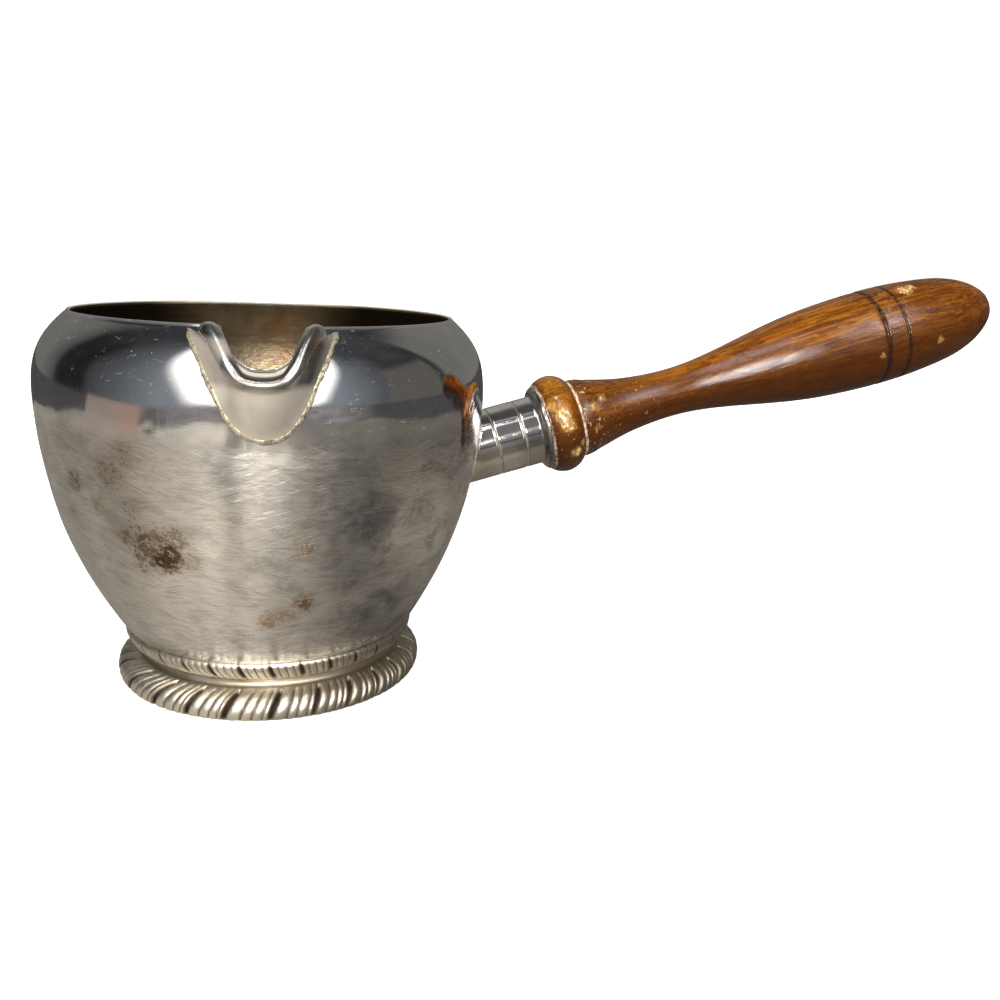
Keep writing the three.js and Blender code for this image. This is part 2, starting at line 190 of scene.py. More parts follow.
# ---------------------------------------------------------------- node helpers
class Nodes:
    def __init__(self, tree):
        self.tree = tree
        tree.nodes.clear()

    def new(self, kind, **props):
        n = self.tree.nodes.new(kind)
        for k, v in props.items():
            setattr(n, k, v)
        return n

    def put(self, socket, value):
        if value is None:
            return
        if isinstance(value, bpy.types.NodeSocket):
            self.tree.links.new(value, socket)
        elif isinstance(value, (tuple, list)) and len(value) == 3 and socket.type == "RGBA":
            socket.default_value = (*value, 1.0)
        else:
            socket.default_value = value

    def math(self, op, a, b=None, c=None, clamp=False):
        n = self.new("ShaderNodeMath", operation=op, use_clamp=clamp)
        for s, v in zip(n.inputs, (a, b, c)):
            self.put(s, v)
        return n.outputs[0]

    def add(self, a, b): return self.math("ADD", a, b)
    def sub(self, a, b): return self.math("SUBTRACT", a, b)
    def mul(self, *v):
        out = v[0]
        for w in v[1:]:
            out = self.math("MULTIPLY", out, w)
        return out
    def top(self, a, b): return self.math("MAXIMUM", a, b)
    def low(self, a, b): return self.math("MINIMUM", a, b)
    def inv(self, a): return self.math("SUBTRACT", 1.0, a, clamp=True)

    def vec(self, op, a, b=None, scale=None):
        n = self.new("ShaderNodeVectorMath", operation=op)
        self.put(n.inputs[0], a)
        if b is not None:
            self.put(n.inputs[1], b)
        if scale is not None:
            self.put(n.inputs[3], scale)
        return n.outputs[1] if op in ("DOT_PRODUCT", "LENGTH", "DISTANCE") else n.outputs[0]

    def split(self, v):
        n = self.new("ShaderNodeSeparateXYZ")
        self.put(n.inputs[0], v)
        return n.outputs[0], n.outputs[1], n.outputs[2]

    def join(self, x, y, z):
        n = self.new("ShaderNodeCombineXYZ")
        for s, v in zip(n.inputs, (x, y, z)):
            self.put(s, v)
        return n.outputs[0]

    def step(self, lo, hi, x):
        """0 below lo, 1 above hi, smooth between; hi below lo turns it round."""
        n = self.new("ShaderNodeMapRange", interpolation_type="SMOOTHSTEP", clamp=True)
        if hi < lo:
            lo, hi, a, b = hi, lo, 1.0, 0.0
        else:
            a, b = 0.0, 1.0
        for k, v in zip(("From Min", "From Max", "To Min", "To Max"), (lo, hi, a, b)):
            n.inputs[k].default_value = v
        self.put(n.inputs["Value"], x)
        return n.outputs[0]

    def line(self, lo, hi, a, b, x):
        n = self.new("ShaderNodeMapRange", clamp=True)
        for k, v in zip(("From Min", "From Max", "To Min", "To Max"), (lo, hi, a, b)):
            n.inputs[k].default_value = v
        self.put(n.inputs["Value"], x)
        return n.outputs[0]

    def band(self, x, a, b, c, d):
        """Rises from a to b and falls from c to d."""
        return self.mul(self.step(a, b, x), self.step(d, c, x))

    def noise(self, v, scale=1.0, detail=3.0, rough=0.55, distort=0.0):
        n = self.new("ShaderNodeTexNoise")
        self.put(n.inputs["Vector"], v)
        for k, x in (("Scale", scale), ("Detail", detail), ("Roughness", rough), ("Distortion", distort)):
            n.inputs[k].default_value = x
        return n.outputs[0]

    def mix(self, f, a, b, mode="MIX"):
        n = self.new("ShaderNodeMix", data_type="RGBA", blend_type=mode)
        n.clamp_factor = True
        self.put(n.inputs[0], f)
        self.put(n.inputs[6], a)
        self.put(n.inputs[7], b)
        return n.outputs[2]

    def mixf(self, f, a, b):
        n = self.new("ShaderNodeMix", data_type="FLOAT")
        self.put(n.inputs[0], f)
        self.put(n.inputs[2], a)
        self.put(n.inputs[3], b)
        return n.outputs[0]

    def bump(self, height, strength=0.2, distance=0.0001, normal=None):
        n = self.new("ShaderNodeBump")
        n.inputs["Strength"].default_value = strength
        n.inputs["Distance"].default_value = distance
        self.put(n.inputs["Height"], height)
        if normal is not None:
            self.put(n.inputs["Normal"], normal)
        return n.outputs[0]

    def attribute(self, name):
        n = self.new("ShaderNodeAttribute", attribute_name=name)
        return n.outputs["Fac"]

    def place(self):
        """Object point in millimetres about the bowl's axis."""
        t = self.new("ShaderNodeTexCoord")
        moved = self.vec("SUBTRACT", t.outputs["Object"], tuple(AXIS * 0.001))
        return self.vec("SCALE", moved, scale=1000.0)

    def shader(self, colour, roughness, metallic, normal=None, coat=0.0, coat_rough=0.1, ior=1.5, coat_normal=None,
               aniso=0.0, tangent=None, specular=0.5):
        n = self.new("ShaderNodeBsdfPrincipled")
        self.put(n.inputs["Base Color"], colour)
        self.put(n.inputs["Roughness"], roughness)
        self.put(n.inputs["Metallic"], metallic)
        n.inputs["IOR"].default_value = ior
        n.inputs["Coat Weight"].default_value = coat
        n.inputs["Coat Roughness"].default_value = coat_rough
        n.inputs["Anisotropic"].default_value = aniso
        n.inputs["Anisotropic Rotation"].default_value = 0.25 if aniso else 0.0
        n.inputs["Specular IOR Level"].default_value = specular
        if normal is not None:
            self.put(n.inputs["Normal"], normal)
        if coat_normal is not None:
            self.put(n.inputs["Coat Normal"], coat_normal)
        if tangent is not None:
            self.put(n.inputs["Tangent"], tangent)
        out = self.new("ShaderNodeOutputMaterial")
        self.tree.links.new(n.outputs[0], out.inputs[0])
        return n


def material(name):
    m = bpy.data.materials.new(name)
    m.use_nodes = True
    return m, Nodes(m.node_tree)


# ---------------------------------------------------------------- silver plate on the bowl's outside
def silver_outside():
    m, g = material("silver_outside")
    p = g.place()
    x, y, z = g.split(p)
    cloud = g.noise(p, 0.055, 4, 0.6, 0.6)
    fine = g.noise(p, 0.9, 4, 0.62)
    mid = g.noise(p, 0.28, 4, 0.6, 0.4)
    worn = g.step(59.2, 54.8, g.add(z, g.mul(g.sub(mid, 0.5), 4.0)))  # 1 on the brushed lower part
    # Long level scratches from years of polishing, and a few that wander.
    level = g.noise(g.vec("MULTIPLY", p, (0.045, 0.045, 3.0)), 1.0, 2, 0.6)
    level2 = g.noise(g.vec("MULTIPLY", p, (0.022, 0.022, 1.3)), 1.0, 2, 0.6)
    bow = g.add(z, g.add(g.mul(x, 0.10), g.mul(g.mul(x, x), -0.0016)))
    swirl = g.noise(g.join(g.mul(x, 0.05), g.mul(y, 0.05), g.mul(bow, 3.6)), 1.0, 2, 0.6, 0.2)
    tilt = g.join(g.add(g.mul(x, 0.96), g.mul(z, 0.28)), y, g.add(g.mul(z, 0.96), g.mul(x, -0.28)))
    hair = g.step(0.64, 0.70, g.noise(g.vec("MULTIPLY", tilt, (0.22, 0.22, 6.0)), 1.0, 1, 0.5))
    up_hair = g.step(0.60, 0.72, g.noise(g.vec("MULTIPLY", p, (2.2, 2.2, 0.14)), 1.0, 2, 0.6, 0.5))

    silver = g.mix(g.step(0.35, 0.7, cloud), (0.90, 0.895, 0.885), (0.82, 0.81, 0.79))
    low_tone = g.mix(g.step(0.3, 0.72, mid), (0.84, 0.80, 0.745), (0.72, 0.685, 0.635))
    colour = g.mix(g.mul(worn, 0.85), silver, low_tone)
    # Fine level scratches, light and dark.
    colour = g.mix(g.mul(g.step(0.54, 0.66, level), g.mul(worn, 0.30)), colour, (0.93, 0.90, 0.85))
    colour = g.mix(g.mul(g.step(0.46, 0.34, swirl), g.mul(worn, 0.30)), colour, (0.50, 0.46, 0.41))
    mottle = g.noise(g.vec("MULTIPLY", p, (0.13, 0.13, 0.19)), 1.0, 5, 0.66, 0.7)
    toward = g.line(-25.0, 30.0, 0.5, 1.25, x)  # heavier towards the handle
    colour = g.mix(g.mul(g.step(0.48, 0.66, mottle), g.mul(worn, 0.58, toward)), colour, (0.34, 0.315, 0.305))
    colour = g.mix(g.mul(g.step(0.45, 0.32, mottle), g.mul(worn, 0.60)), colour, (1.0, 0.975, 0.93))
    # Smears left by a cloth, slanting down to the right.
    smear = g.noise(g.vec("MULTIPLY", g.join(g.add(g.mul(x, 0.90), g.mul(z, -0.44)), y, g.add(g.mul(z, 0.90), g.mul(x, 0.44))), (0.07, 0.07, 0.30)), 1.0, 4, 0.62, 0.5)
    colour = g.mix(g.mul(g.step(0.50, 0.68, smear), g.mul(worn, 0.40)), colour, (0.42, 0.39, 0.37))
    colour = g.mix(g.mul(g.step(0.45, 0.30, smear), g.mul(worn, 0.35)), colour, (0.98, 0.95, 0.90))
    # Many short fine scratches lying level and a little askew.
    lie = g.add(z, g.add(g.mul(x, 0.06), g.mul(g.noise(p, 0.06, 2, 0.5), 3.0)))
    scratch = g.noise(g.join(g.mul(x, 0.22), g.mul(y, 0.22), g.mul(lie, 5.5)), 1.0, 2, 0.6)
    colour = g.mix(g.mul(g.step(0.57, 0.66, scratch), g.mul(worn, 0.46)), colour, (0.98, 0.96, 0.92))
    colour = g.mix(g.mul(g.step(0.42, 0.33, scratch), g.mul(worn, 0.44)), colour, (0.40, 0.365, 0.33))
    # Longer slanting hairlines both ways, each set only here and there.
    here = g.step(0.46, 0.58, g.noise(p, 0.075, 3, 0.6))
    lean_a = g.noise(g.vec("MULTIPLY", g.join(g.add(g.mul(x, 0.95), g.mul(z, 0.30)), y, g.add(g.mul(z, 0.95), g.mul(x, -0.30))), (0.10, 0.10, 4.2)), 1.0, 2, 0.6, 0.15)
    lean_b = g.noise(g.vec("MULTIPLY", g.join(g.add(g.mul(x, 0.92), g.mul(z, -0.38)), y, g.add(g.mul(z, 0.92), g.mul(x, 0.38))), (0.12, 0.12, 3.6)), 1.0, 2, 0.6, 0.15)
    colour = g.mix(g.mul(g.step(0.60, 0.67, lean_a), g.mul(worn, here, 0.60)), colour, (0.99, 0.97, 0.93))
    colour = g.mix(g.mul(g.step(0.40, 0.33, lean_a), g.mul(worn, here, 0.50)), colour, (0.38, 0.345, 0.32))
    colour = g.mix(g.mul(g.step(0.60, 0.67, lean_b), g.mul(worn, g.inv(here), 0.55)), colour, (0.99, 0.97, 0.93))
    colour = g.mix(g.mul(g.step(0.40, 0.33, lean_b), g.mul(worn, g.inv(here), 0.45)), colour, (0.38, 0.345, 0.32))
    # Broad dull blue-grey clouds of tarnish, mostly towards the handle.
    dull = None
    for px, py, pz, r, w in ((17.5, -39.3, 42.4, 9.5, 0.66), (20.4, -30.7, 23.9, 8.5, 0.50), (14.4, -41.6, 51.5, 7.0, 0.55),
                             (12.9, -41.2, 43.0, 6.5, 0.50), (14.0, -38.0, 33.0, 8.0, 0.45), (27.0, -33.0, 40.0, 8.0, 0.35), (-28.5, -33.0, 52.5, 8.5, 0.08), (-8.0, -43.6, 52.5, 4.0, 0.30),
                             (21.8, -34.2, 33.1, 7.0, 0.35), (30.0, 30.0, 40.0, 12.0, 0.5), (-25.0, 34.0, 34.0, 13.0, 0.5),
                             (4.0, 43.0, 48.0, 8.0, 0.4), (41.0, 8.0, 44.0, 7.0, 0.45)):
        d = g.vec("DISTANCE", p, (px, py, pz))
        d = g.add(d, g.mul(g.sub(mid, 0.5), r * 1.5))
        s = g.mul(g.step(r, r * 0.15, d), w)
        dull = s if dull is None else g.top(dull, s)
    dull = g.mul(dull, g.line(0.36, 0.62, 0.60, 1.45, mottle))
    colour = g.mix(dull, colour, (0.245, 0.24, 0.26))
    # Brown spotting where the plate has been attacked.
    speck = g.noise(p, 1.15, 5, 0.68, 0.25)
    speck_fine = g.noise(p, 2.6, 3, 0.6)
    brown = None
    for px, py, pz, r, w in ((-18.0, -37.5, 35.4, 4.8, 1.0), (-20.7, -36.5, 36.9, 8.0, 0.72), (-16.6, -39.0, 39.4, 4.6, 0.60),
                             (-24.6, -34.6, 38.6, 4.4, 0.60), (-22.4, -34.4, 33.4, 3.4, 0.55),
                             (-14.0, -38.9, 35.0, 4.0, 0.5), (-23.7, -36.2, 44.0, 4.0, 0.45), (-26.8, -35.2, 50.3, 5.4, 0.50),
                             (-24.6, -37.3, 54.0, 3.8, 0.42), (-33.8, -27.8, 47.8, 3.8, 0.55), (-35.3, -24.6, 41.0, 3.2, 0.4),
                             (-29.3, -32.0, 44.1, 3.4, 0.42), (5.9, -37.5, 26.3, 3.6, 0.85), (2.0, -36.6, 23.0, 4.2, 0.68),
                             (6.2, -41.6, 38.0, 2.9, 0.68), (5.2, -41.8, 40.2, 2.0, 0.5), (-0.5, -36.2, 21.8, 3.2, 0.70),
                             (20.3, -38.0, 44.5, 3.4, 0.30), (-3.0, -29.9, 14.0, 2.5, 0.3), (26.0, 26.0, 22.0, 6.0, 0.6),
                             (-34.0, 24.0, 46.0, 5.0, 0.5), (10.0, 41.5, 38.0, 4.5, 0.5)):
        d = g.vec("DISTANCE", p, (px, py, pz))
        d = g.add(d, g.mul(g.sub(mid, 0.5), r * 1.2))
        s = g.mul(g.step(r, r * 0.25, d), w)
        brown = s if brown is None else g.top(brown, s)
    eaten = g.step(0.50, 0.60, g.add(g.mul(speck, 0.72), g.add(g.mul(speck_fine, 0.14), g.mul(brown, 0.20))))
    spots = g.mul(g.low(g.mul(brown, 1.5), 1.0), g.add(g.mul(eaten, 0.72), g.mul(brown, 0.30)))
    core = g.step(0.55, 1.0, brown)
    colour = g.mix(g.mul(g.low(g.mul(brown, 1.4), 1.0), 0.35), colour, (0.46, 0.36, 0.26))
    colour = g.mix(spots, colour, g.mix(core, g.mix(speck_fine, (0.20, 0.125, 0.070), (0.33, 0.235, 0.145)), (0.115, 0.066, 0.035)))
    # A painted reflection of the wooden handle lies on the bowl beside the socket: a red-brown patch with a black
    # streak under it.
    painted_handle_reflection = None
    for px, py, pz, r in ((33.3, -29.9, 65.4, 3.0), (35.2, -27.8, 63.2, 3.2), (37.2, -25.2, 61.0, 3.4), (38.7, -22.9, 58.2, 3.6), (39.3, -21.5, 54.8, 3.4)):
        k = g.step(r, r * 0.62, g.add(g.vec("DISTANCE", p, (px, py, pz)), g.mul(g.sub(mid, 0.5), 2.0)))
        painted_handle_reflection = k if painted_handle_reflection is None else g.top(painted_handle_reflection, k)
    painted_handle_reflection = g.mul(painted_handle_reflection, g.line(0.35, 0.62, 0.62, 0.92, speck))
    colour = g.mix(painted_handle_reflection, colour, (0.34, 0.195, 0.150))
    # The black streak is part of the same painted reflection.
    black = None
    for px, py, pz, r in ((36.6, -26.1, 58.0, 1.2), (36.9, -25.7, 56.6, 1.5), (37.0, -25.5, 55.0, 1.5), (37.1, -25.2, 53.6, 1.2)):
        k = g.step(r, r * 0.4, g.add(g.vec("DISTANCE", p, (px, py, pz)), g.mul(g.sub(mid, 0.5), 0.8)))
        black = k if black is None else g.top(black, k)
    colour = g.mix(g.mul(black, 0.8), colour, (0.045, 0.040, 0.040))
    # Rare tiny pits all over.
    pits = g.mul(g.step(0.745, 0.79, speck), g.step(0.5, 0.62, cloud))
    colour = g.mix(g.mul(pits, 0.5), colour, (0.28, 0.21, 0.15))
    # A warm haze in level bands on the worn part.
    colour = g.mix(g.mul(g.step(0.56, 0.68, level2), g.mul(worn, 0.16)), colour, (0.92, 0.88, 0.80))

    rough = g.mixf(worn, g.add(0.05, g.mul(g.step(0.4, 0.75, cloud), 0.07)), g.add(0.17, g.mul(mid, 0.12)))
    rough = g.add(rough, g.mul(up_hair, g.mul(g.inv(worn), 0.10)))
    rough = g.add(rough, g.mul(hair, g.add(0.03, g.mul(worn, 0.06))))
    rough = g.add(rough, g.add(g.mul(spots, 0.22), g.mul(dull, 0.10)))
    lines = g.add(g.mul(level, g.mul(worn, 1.0)), g.mul(swirl, g.add(0.10, g.mul(worn, 0.55))))
    n1 = g.bump(lines, 0.30, 0.00008)
    n2 = g.bump(g.add(g.mul(eaten, g.mul(brown, -0.5)), g.mul(pits, -0.6)), 0.5, 0.00012, n1)
    n3 = g.bump(g.noise(p, 0.045, 1, 0.5), 0.35, 0.0012, n2)
    # The rim's edge is darker at the front and dull elsewhere; fine pale nicks and dust show on the polished part
    # above.
    front = g.step(14.0, -10.0, y)
    edge = g.step(75.9, 76.35, z)
    colour = g.mix(g.mul(edge, front, 0.62), colour, (0.25, 0.245, 0.24))
    edge = g.mul(edge, g.sub(1.0, g.mul(front, 0.80)))
    some =g.step(0.44, 0.56, g.noise(p, 0.09, 3, 0.6))
    dust = g.mul(g.step(0.715, 0.76, g.noise(p, 2.0, 3, 0.6)), g.mul(g.inv(worn), some))
    nick = g.mul(g.step(0.66, 0.70, g.noise(g.vec("MULTIPLY", p, (0.75, 0.75, 2.6)), 1.0, 2, 0.5, 0.9)), g.mul(g.inv(worn), g.inv(some)))
    pale = g.low(g.add(g.mul(dust, 0.36), g.mul(nick, 0.16)), 1.0)
    rough = g.add(rough, g.add(g.mul(edge, 0.12), g.mul(pale, 0.25)))
    g.shader(colour, rough, g.sub(1.0, g.low(g.add(g.mul(edge, 0.50), g.mul(pale, 0.55)), 0.8)), n3, aniso=0.75,
             tangent=radial_tangent(g))
    return m


def radial_tangent(g):
    n = g.new("ShaderNodeTangent", direction_type="RADIAL", axis="Z")
    return n.outputs[0]


def silver_inside():
    m, g = material("silver_inside")
    p = g.place()
    x, y, z = g.split(p)
    cloud = g.noise(p, 0.07, 5, 0.62, 0.8)
    mid = g.noise(p, 0.32, 4, 0.65, 0.3)
    rings = g.noise(g.vec("MULTIPLY", p, (0.02, 0.02, 1.1)), 1.0, 3, 0.6)
    colour = g.mix(g.step(0.35, 0.68, cloud), (0.62, 0.50, 0.33), (0.44, 0.335, 0.20))
    colour = g.mix(g.mul(g.step(0.48, 0.66, mid), 0.4), colour, (0.66, 0.58, 0.44))
    colour = g.mix(g.mul(g.step(0.48, 0.64, rings), 0.4), colour, (0.30, 0.22, 0.13))
    d = g.add(g.vec("DISTANCE", p, (4.0, 43.3, 66.5)), g.mul(g.sub(mid, 0.5), 9.0))
    colour = g.mix(g.mul(g.step(9.0, 1.5, d), 0.7), colour, (0.62, 0.32, 0.17))
    d2 = g.add(g.vec("DISTANCE", p, (22.0, 33.0, 70.0)), g.mul(g.sub(mid, 0.5), 12.0))
    colour = g.mix(g.mul(g.step(9.0, 2.0, d2), 0.5), colour, (0.40, 0.32, 0.10))
    # Painted shade: the inside goes nearly black towards both sides, away from the middle.
    painted_dark_sides = g.step(9.0, 25.0, g.math("ABSOLUTE", g.add(x, 2.0)))
    colour = g.mix(g.mul(painted_dark_sides, 0.90), colour, (0.050, 0.036, 0.020))
    clean = g.mixf(painted_dark_sides, g.step(74.6, 76.2, z), g.step(76.05, 76.45, z))
    colour = g.mix(clean, colour, (0.74, 0.71, 0.64))
    # Painted shade: the inside goes darker further down.
    deep = g.step(71.5, 65.5, z)
    colour = g.mix(g.mul(deep, 0.78), colour, (0.17, 0.132, 0.080))
    rough = g.add(0.30, g.add(g.mul(mid, 0.16), g.mul(clean, -0.12)))
    n1 = g.bump(g.mul(g.noise(g.vec("MULTIPLY", p, (0.08, 0.08, 4.0)), 1.0, 3, 0.6), g.inv(clean)), 0.30, 0.00008)
    n2 = g.bump(g.add(cloud, mid), 0.3, 0.0005, n1)
    edge = g.step(75.5, 76.2, z)
    g.shader(colour, rough, g.sub(1.0, g.mul(edge, 0.55)), n2, aniso=0.3, tangent=radial_tangent(g))
    return m


def silver_lip():
    m, g = material("silver_lip")
    p = g.place()
    x, y, z = g.split(p)
    cloud = g.noise(p, 0.16, 4, 0.6, 0.5)
    mid = g.noise(p, 0.6, 4, 0.6, 0.3)
    hair = g.step(0.6, 0.74, g.noise(g.vec("MULTIPLY", p, (5.0, 1.2, 0.7)), 1.0, 3, 0.6, 0.4))
    colour = g.mix(g.step(0.35, 0.7, cloud), (0.87, 0.85, 0.80), (0.74, 0.71, 0.64))
    colour = g.mix(g.mul(g.step(0.48, 0.64, mid), 0.40), colour, (0.56, 0.515, 0.43))
    colour = g.mix(g.mul(g.step(0.70, 0.78, g.noise(p, 1.3, 4, 0.65)), 0.6), colour, (0.42, 0.37, 0.29))
    edge = g.attribute("seam")
    colour = g.mix(g.mul(g.step(0.20, 0.95, g.add(edge, g.mul(g.sub(mid, 0.5), 0.5))), 0.70), colour, (0.66, 0.58, 0.41))
    # Old polish dulls the channel behind the roll, going brown where it meets the inside.
    inner = g.attribute("trough")
    dull = g.step(0.03, 0.25, inner)
    colour = g.mix(g.mul(dull, 0.9), colour, (0.70, 0.63, 0.49))
    stained = g.step(0.50, 0.95, g.add(inner, g.mul(g.sub(mid, 0.5), 0.35)))
    colour = g.mix(stained, colour, (0.30, 0.215, 0.125))
    # Painted reflections on the two cheeks beside the seam: brown on the left, grey on the right.
    high = g.band(z, 62.5, 66.0, 73.5, 75.5)
    brown = g.mul(g.step(-4.6, -7.0, x), g.step(-46.8, -44.8, y), high)
    grey = g.mul(g.step(5.2, 7.2, x), g.step(-46.8, -44.8, y), high)
    colour = g.mix(g.mul(brown, 0.8), colour, (0.36, 0.30, 0.25))
    colour = g.mix(g.mul(grey, 0.75), colour, (0.30, 0.295, 0.28))
    shield = g.step(68.2, 66.4, z)
    colour = g.mix(g.mul(shield, 0.75), colour, (0.60, 0.54, 0.445))
    # Painted shade on the middle of the roll, dimming its reflection there.
    middle = g.mul(g.band(x, -6.5, -3.5, 2.0, 4.5), g.step(66.4, 67.6, z), g.inv(dull))
    colour = g.mix(g.mul(middle, 0.88), colour, (0.155, 0.140, 0.122))
    rough = g.add(g.add(0.15, g.mul(middle, 0.14)), g.add(g.mul(cloud, 0.07), g.mul(hair, 0.04)))
    rough = g.add(rough, g.mul(shield, 0.12))
    rough = g.add(rough, g.add(g.mul(edge, 0.12), g.add(g.mul(dull, 0.26), g.mul(stained, 0.12))))
    n1 = g.bump(g.add(g.mul(hair, 0.3), g.mul(g.noise(p, 1.6, 2, 0.5), 0.6)), 0.10, 0.00005)
    n2 = g.bump(mid, 0.10, 0.0004, n1)
    soft = g.add(g.mul(dull, 0.62), g.add(g.mul(edge, 0.20), g.add(g.mul(brown, 0.45), g.mul(shield, 0.25))))
    g.shader(colour, rough, g.sub(1.0, g.low(soft, 0.85)), n2)
    return m


def solder(name, tint=(0.56, 0.47, 0.30), dark=(0.20, 0.15, 0.09)):
    m, g = material(name)
    p = g.place()
    a = g.noise(p, 0.75, 4, 0.65, 0.4)
    b = g.noise(p, 2.8, 4, 0.6)
    colour = g.mix(g.step(0.42, 0.66, a), tint, dark)
    colour = g.mix(g.mul(g.step(0.5, 0.62, b), 0.45), colour, (0.74, 0.70, 0.60))
    rough = g.add(0.34, g.mul(a, 0.24))
    n1 = g.bump(b, 0.16, 0.00010)
    n2 = g.bump(a, 0.24, 0.00030, n1)
    g.shader(colour, rough, 0.7, n2)
    return m


def cast_silver():
    m, g = material("cast_silver")
    p = g.place()
    x, y, z = g.split(p)
    cavity = g.attribute("cavity")
    a = g.noise(p, 0.20, 4, 0.6, 0.5)
    b = g.noise(p, 1.6, 4, 0.62)
    c = g.noise(p, 4.5, 3, 0.6)
    colour = g.mix(g.step(0.38, 0.66, a), (0.71, 0.675, 0.585), (0.60, 0.56, 0.47))
    colour = g.mix(g.mul(g.step(0.5, 0.66, b), 0.30), colour, (0.52, 0.475, 0.385))
    # Painted shade: the foot darkens towards its right, the handle's side.
    colour = g.mix(g.mul(g.step(-4.0, 24.0, x), 0.66), colour, (0.24, 0.208, 0.158))
    # The smooth neck is darker and browner, unevenly.
    neck = g.mul(g.band(z, 5.1, 5.5, 7.0, 7.5), g.line(0.35, 0.62, 0.55, 0.85, a))
    colour = g.mix(neck, colour, (0.32, 0.27, 0.20))
    depth = g.add(cavity, g.mul(g.sub(b, 0.5), 0.22))
    colour = g.mix(g.step(0.12, 0.50, depth), colour, (0.27, 0.215, 0.155))
    colour = g.mix(g.step(0.46, 0.86, depth), colour, (0.050, 0.036, 0.032))
    rough = g.add(0.36, g.add(g.mul(a, 0.10), g.mul(g.step(0.2, 0.8, depth), 0.26)))
    rough = g.add(rough, g.mul(g.step(0.5, 0.7, c), 0.06))
    n1 = g.bump(c, 0.12, 0.00006)
    n2 = g.bump(b, 0.18, 0.00018, n1)
    g.shader(colour, rough, 1.0, n2)
    return m


def handle_space(g, p):
    """Along the handle, sideways and upwards, in millimetres."""
    d = g.vec("SUBTRACT", p, (0.0, 0.0, HANDLE_Z))
    return (g.vec("DOT_PRODUCT", d, tuple(ALONG)), g.vec("DOT_PRODUCT", d, tuple(SIDE)),
            g.vec("DOT_PRODUCT", d, tuple(OVER)))


def silver_socket():
    m, g = material("silver_socket")
    p = g.place()
    s, u, v = handle_space(g, p)
    q = g.join(s, u, v)
    a = g.noise(q, 0.22, 4, 0.6, 0.4)
    b = g.noise(q, 1.5, 4, 0.62)
    length_scratch = g.noise(g.vec("MULTIPLY", q, (0.35, 3.4, 3.4)), 1.0, 4, 0.65)
    hair = g.step(0.6, 0.72, g.noise(g.vec("MULTIPLY", q, (4.5, 0.7, 0.7)), 1.0, 3, 0.6, 0.3))
    colour = g.mix(g.step(0.4, 0.66, a), (0.85, 0.84, 0.83), (0.74, 0.72, 0.69))
    # Painted reflection: the socket's underside is warmer and browner.
    under = g.step(1.5, -5.0, v)
    colour = g.mix(g.mul(under, g.line(0.35, 0.65, 0.25, 0.60, b)), colour, (0.50, 0.42, 0.33))
    near = g.step(6.0, 0.0, g.sub(s, 44.2))
    colour = g.mix(g.mul(near, 0.35), colour, (0.58, 0.47, 0.32))
    # Painted reflection: the lower part of the socket's far end is dark grey.
    far = g.mul(g.step(52.0, 58.0, s), g.step(2.5, -1.0, v))
    colour = g.mix(g.mul(far, 0.62), colour, (0.26, 0.25, 0.255))
    cup = g.step(60.1, 60.7, s)
    colour = g.mix(g.mul(cup, 0.55), colour, (0.30, 0.285, 0.27))
    mark = g.attribute("mark")
    colour = g.mix(mark, colour, (0.80, 0.76, 0.62))
    rough = g.add(0.045, g.add(g.mul(b, 0.05), g.mul(hair, 0.04)))
    rough = g.add(rough, g.add(g.mul(under, 0.10), g.add(g.mul(mark, 0.25), g.mul(cup, 0.10))))
    n1 = g.bump(g.add(length_scratch, g.mul(hair, 0.4)), 0.05, 0.00005)
    n2 = g.bump(a, 0.03, 0.0003, n1)
    g.shader(colour, rough, 1.0, n2)
    return m


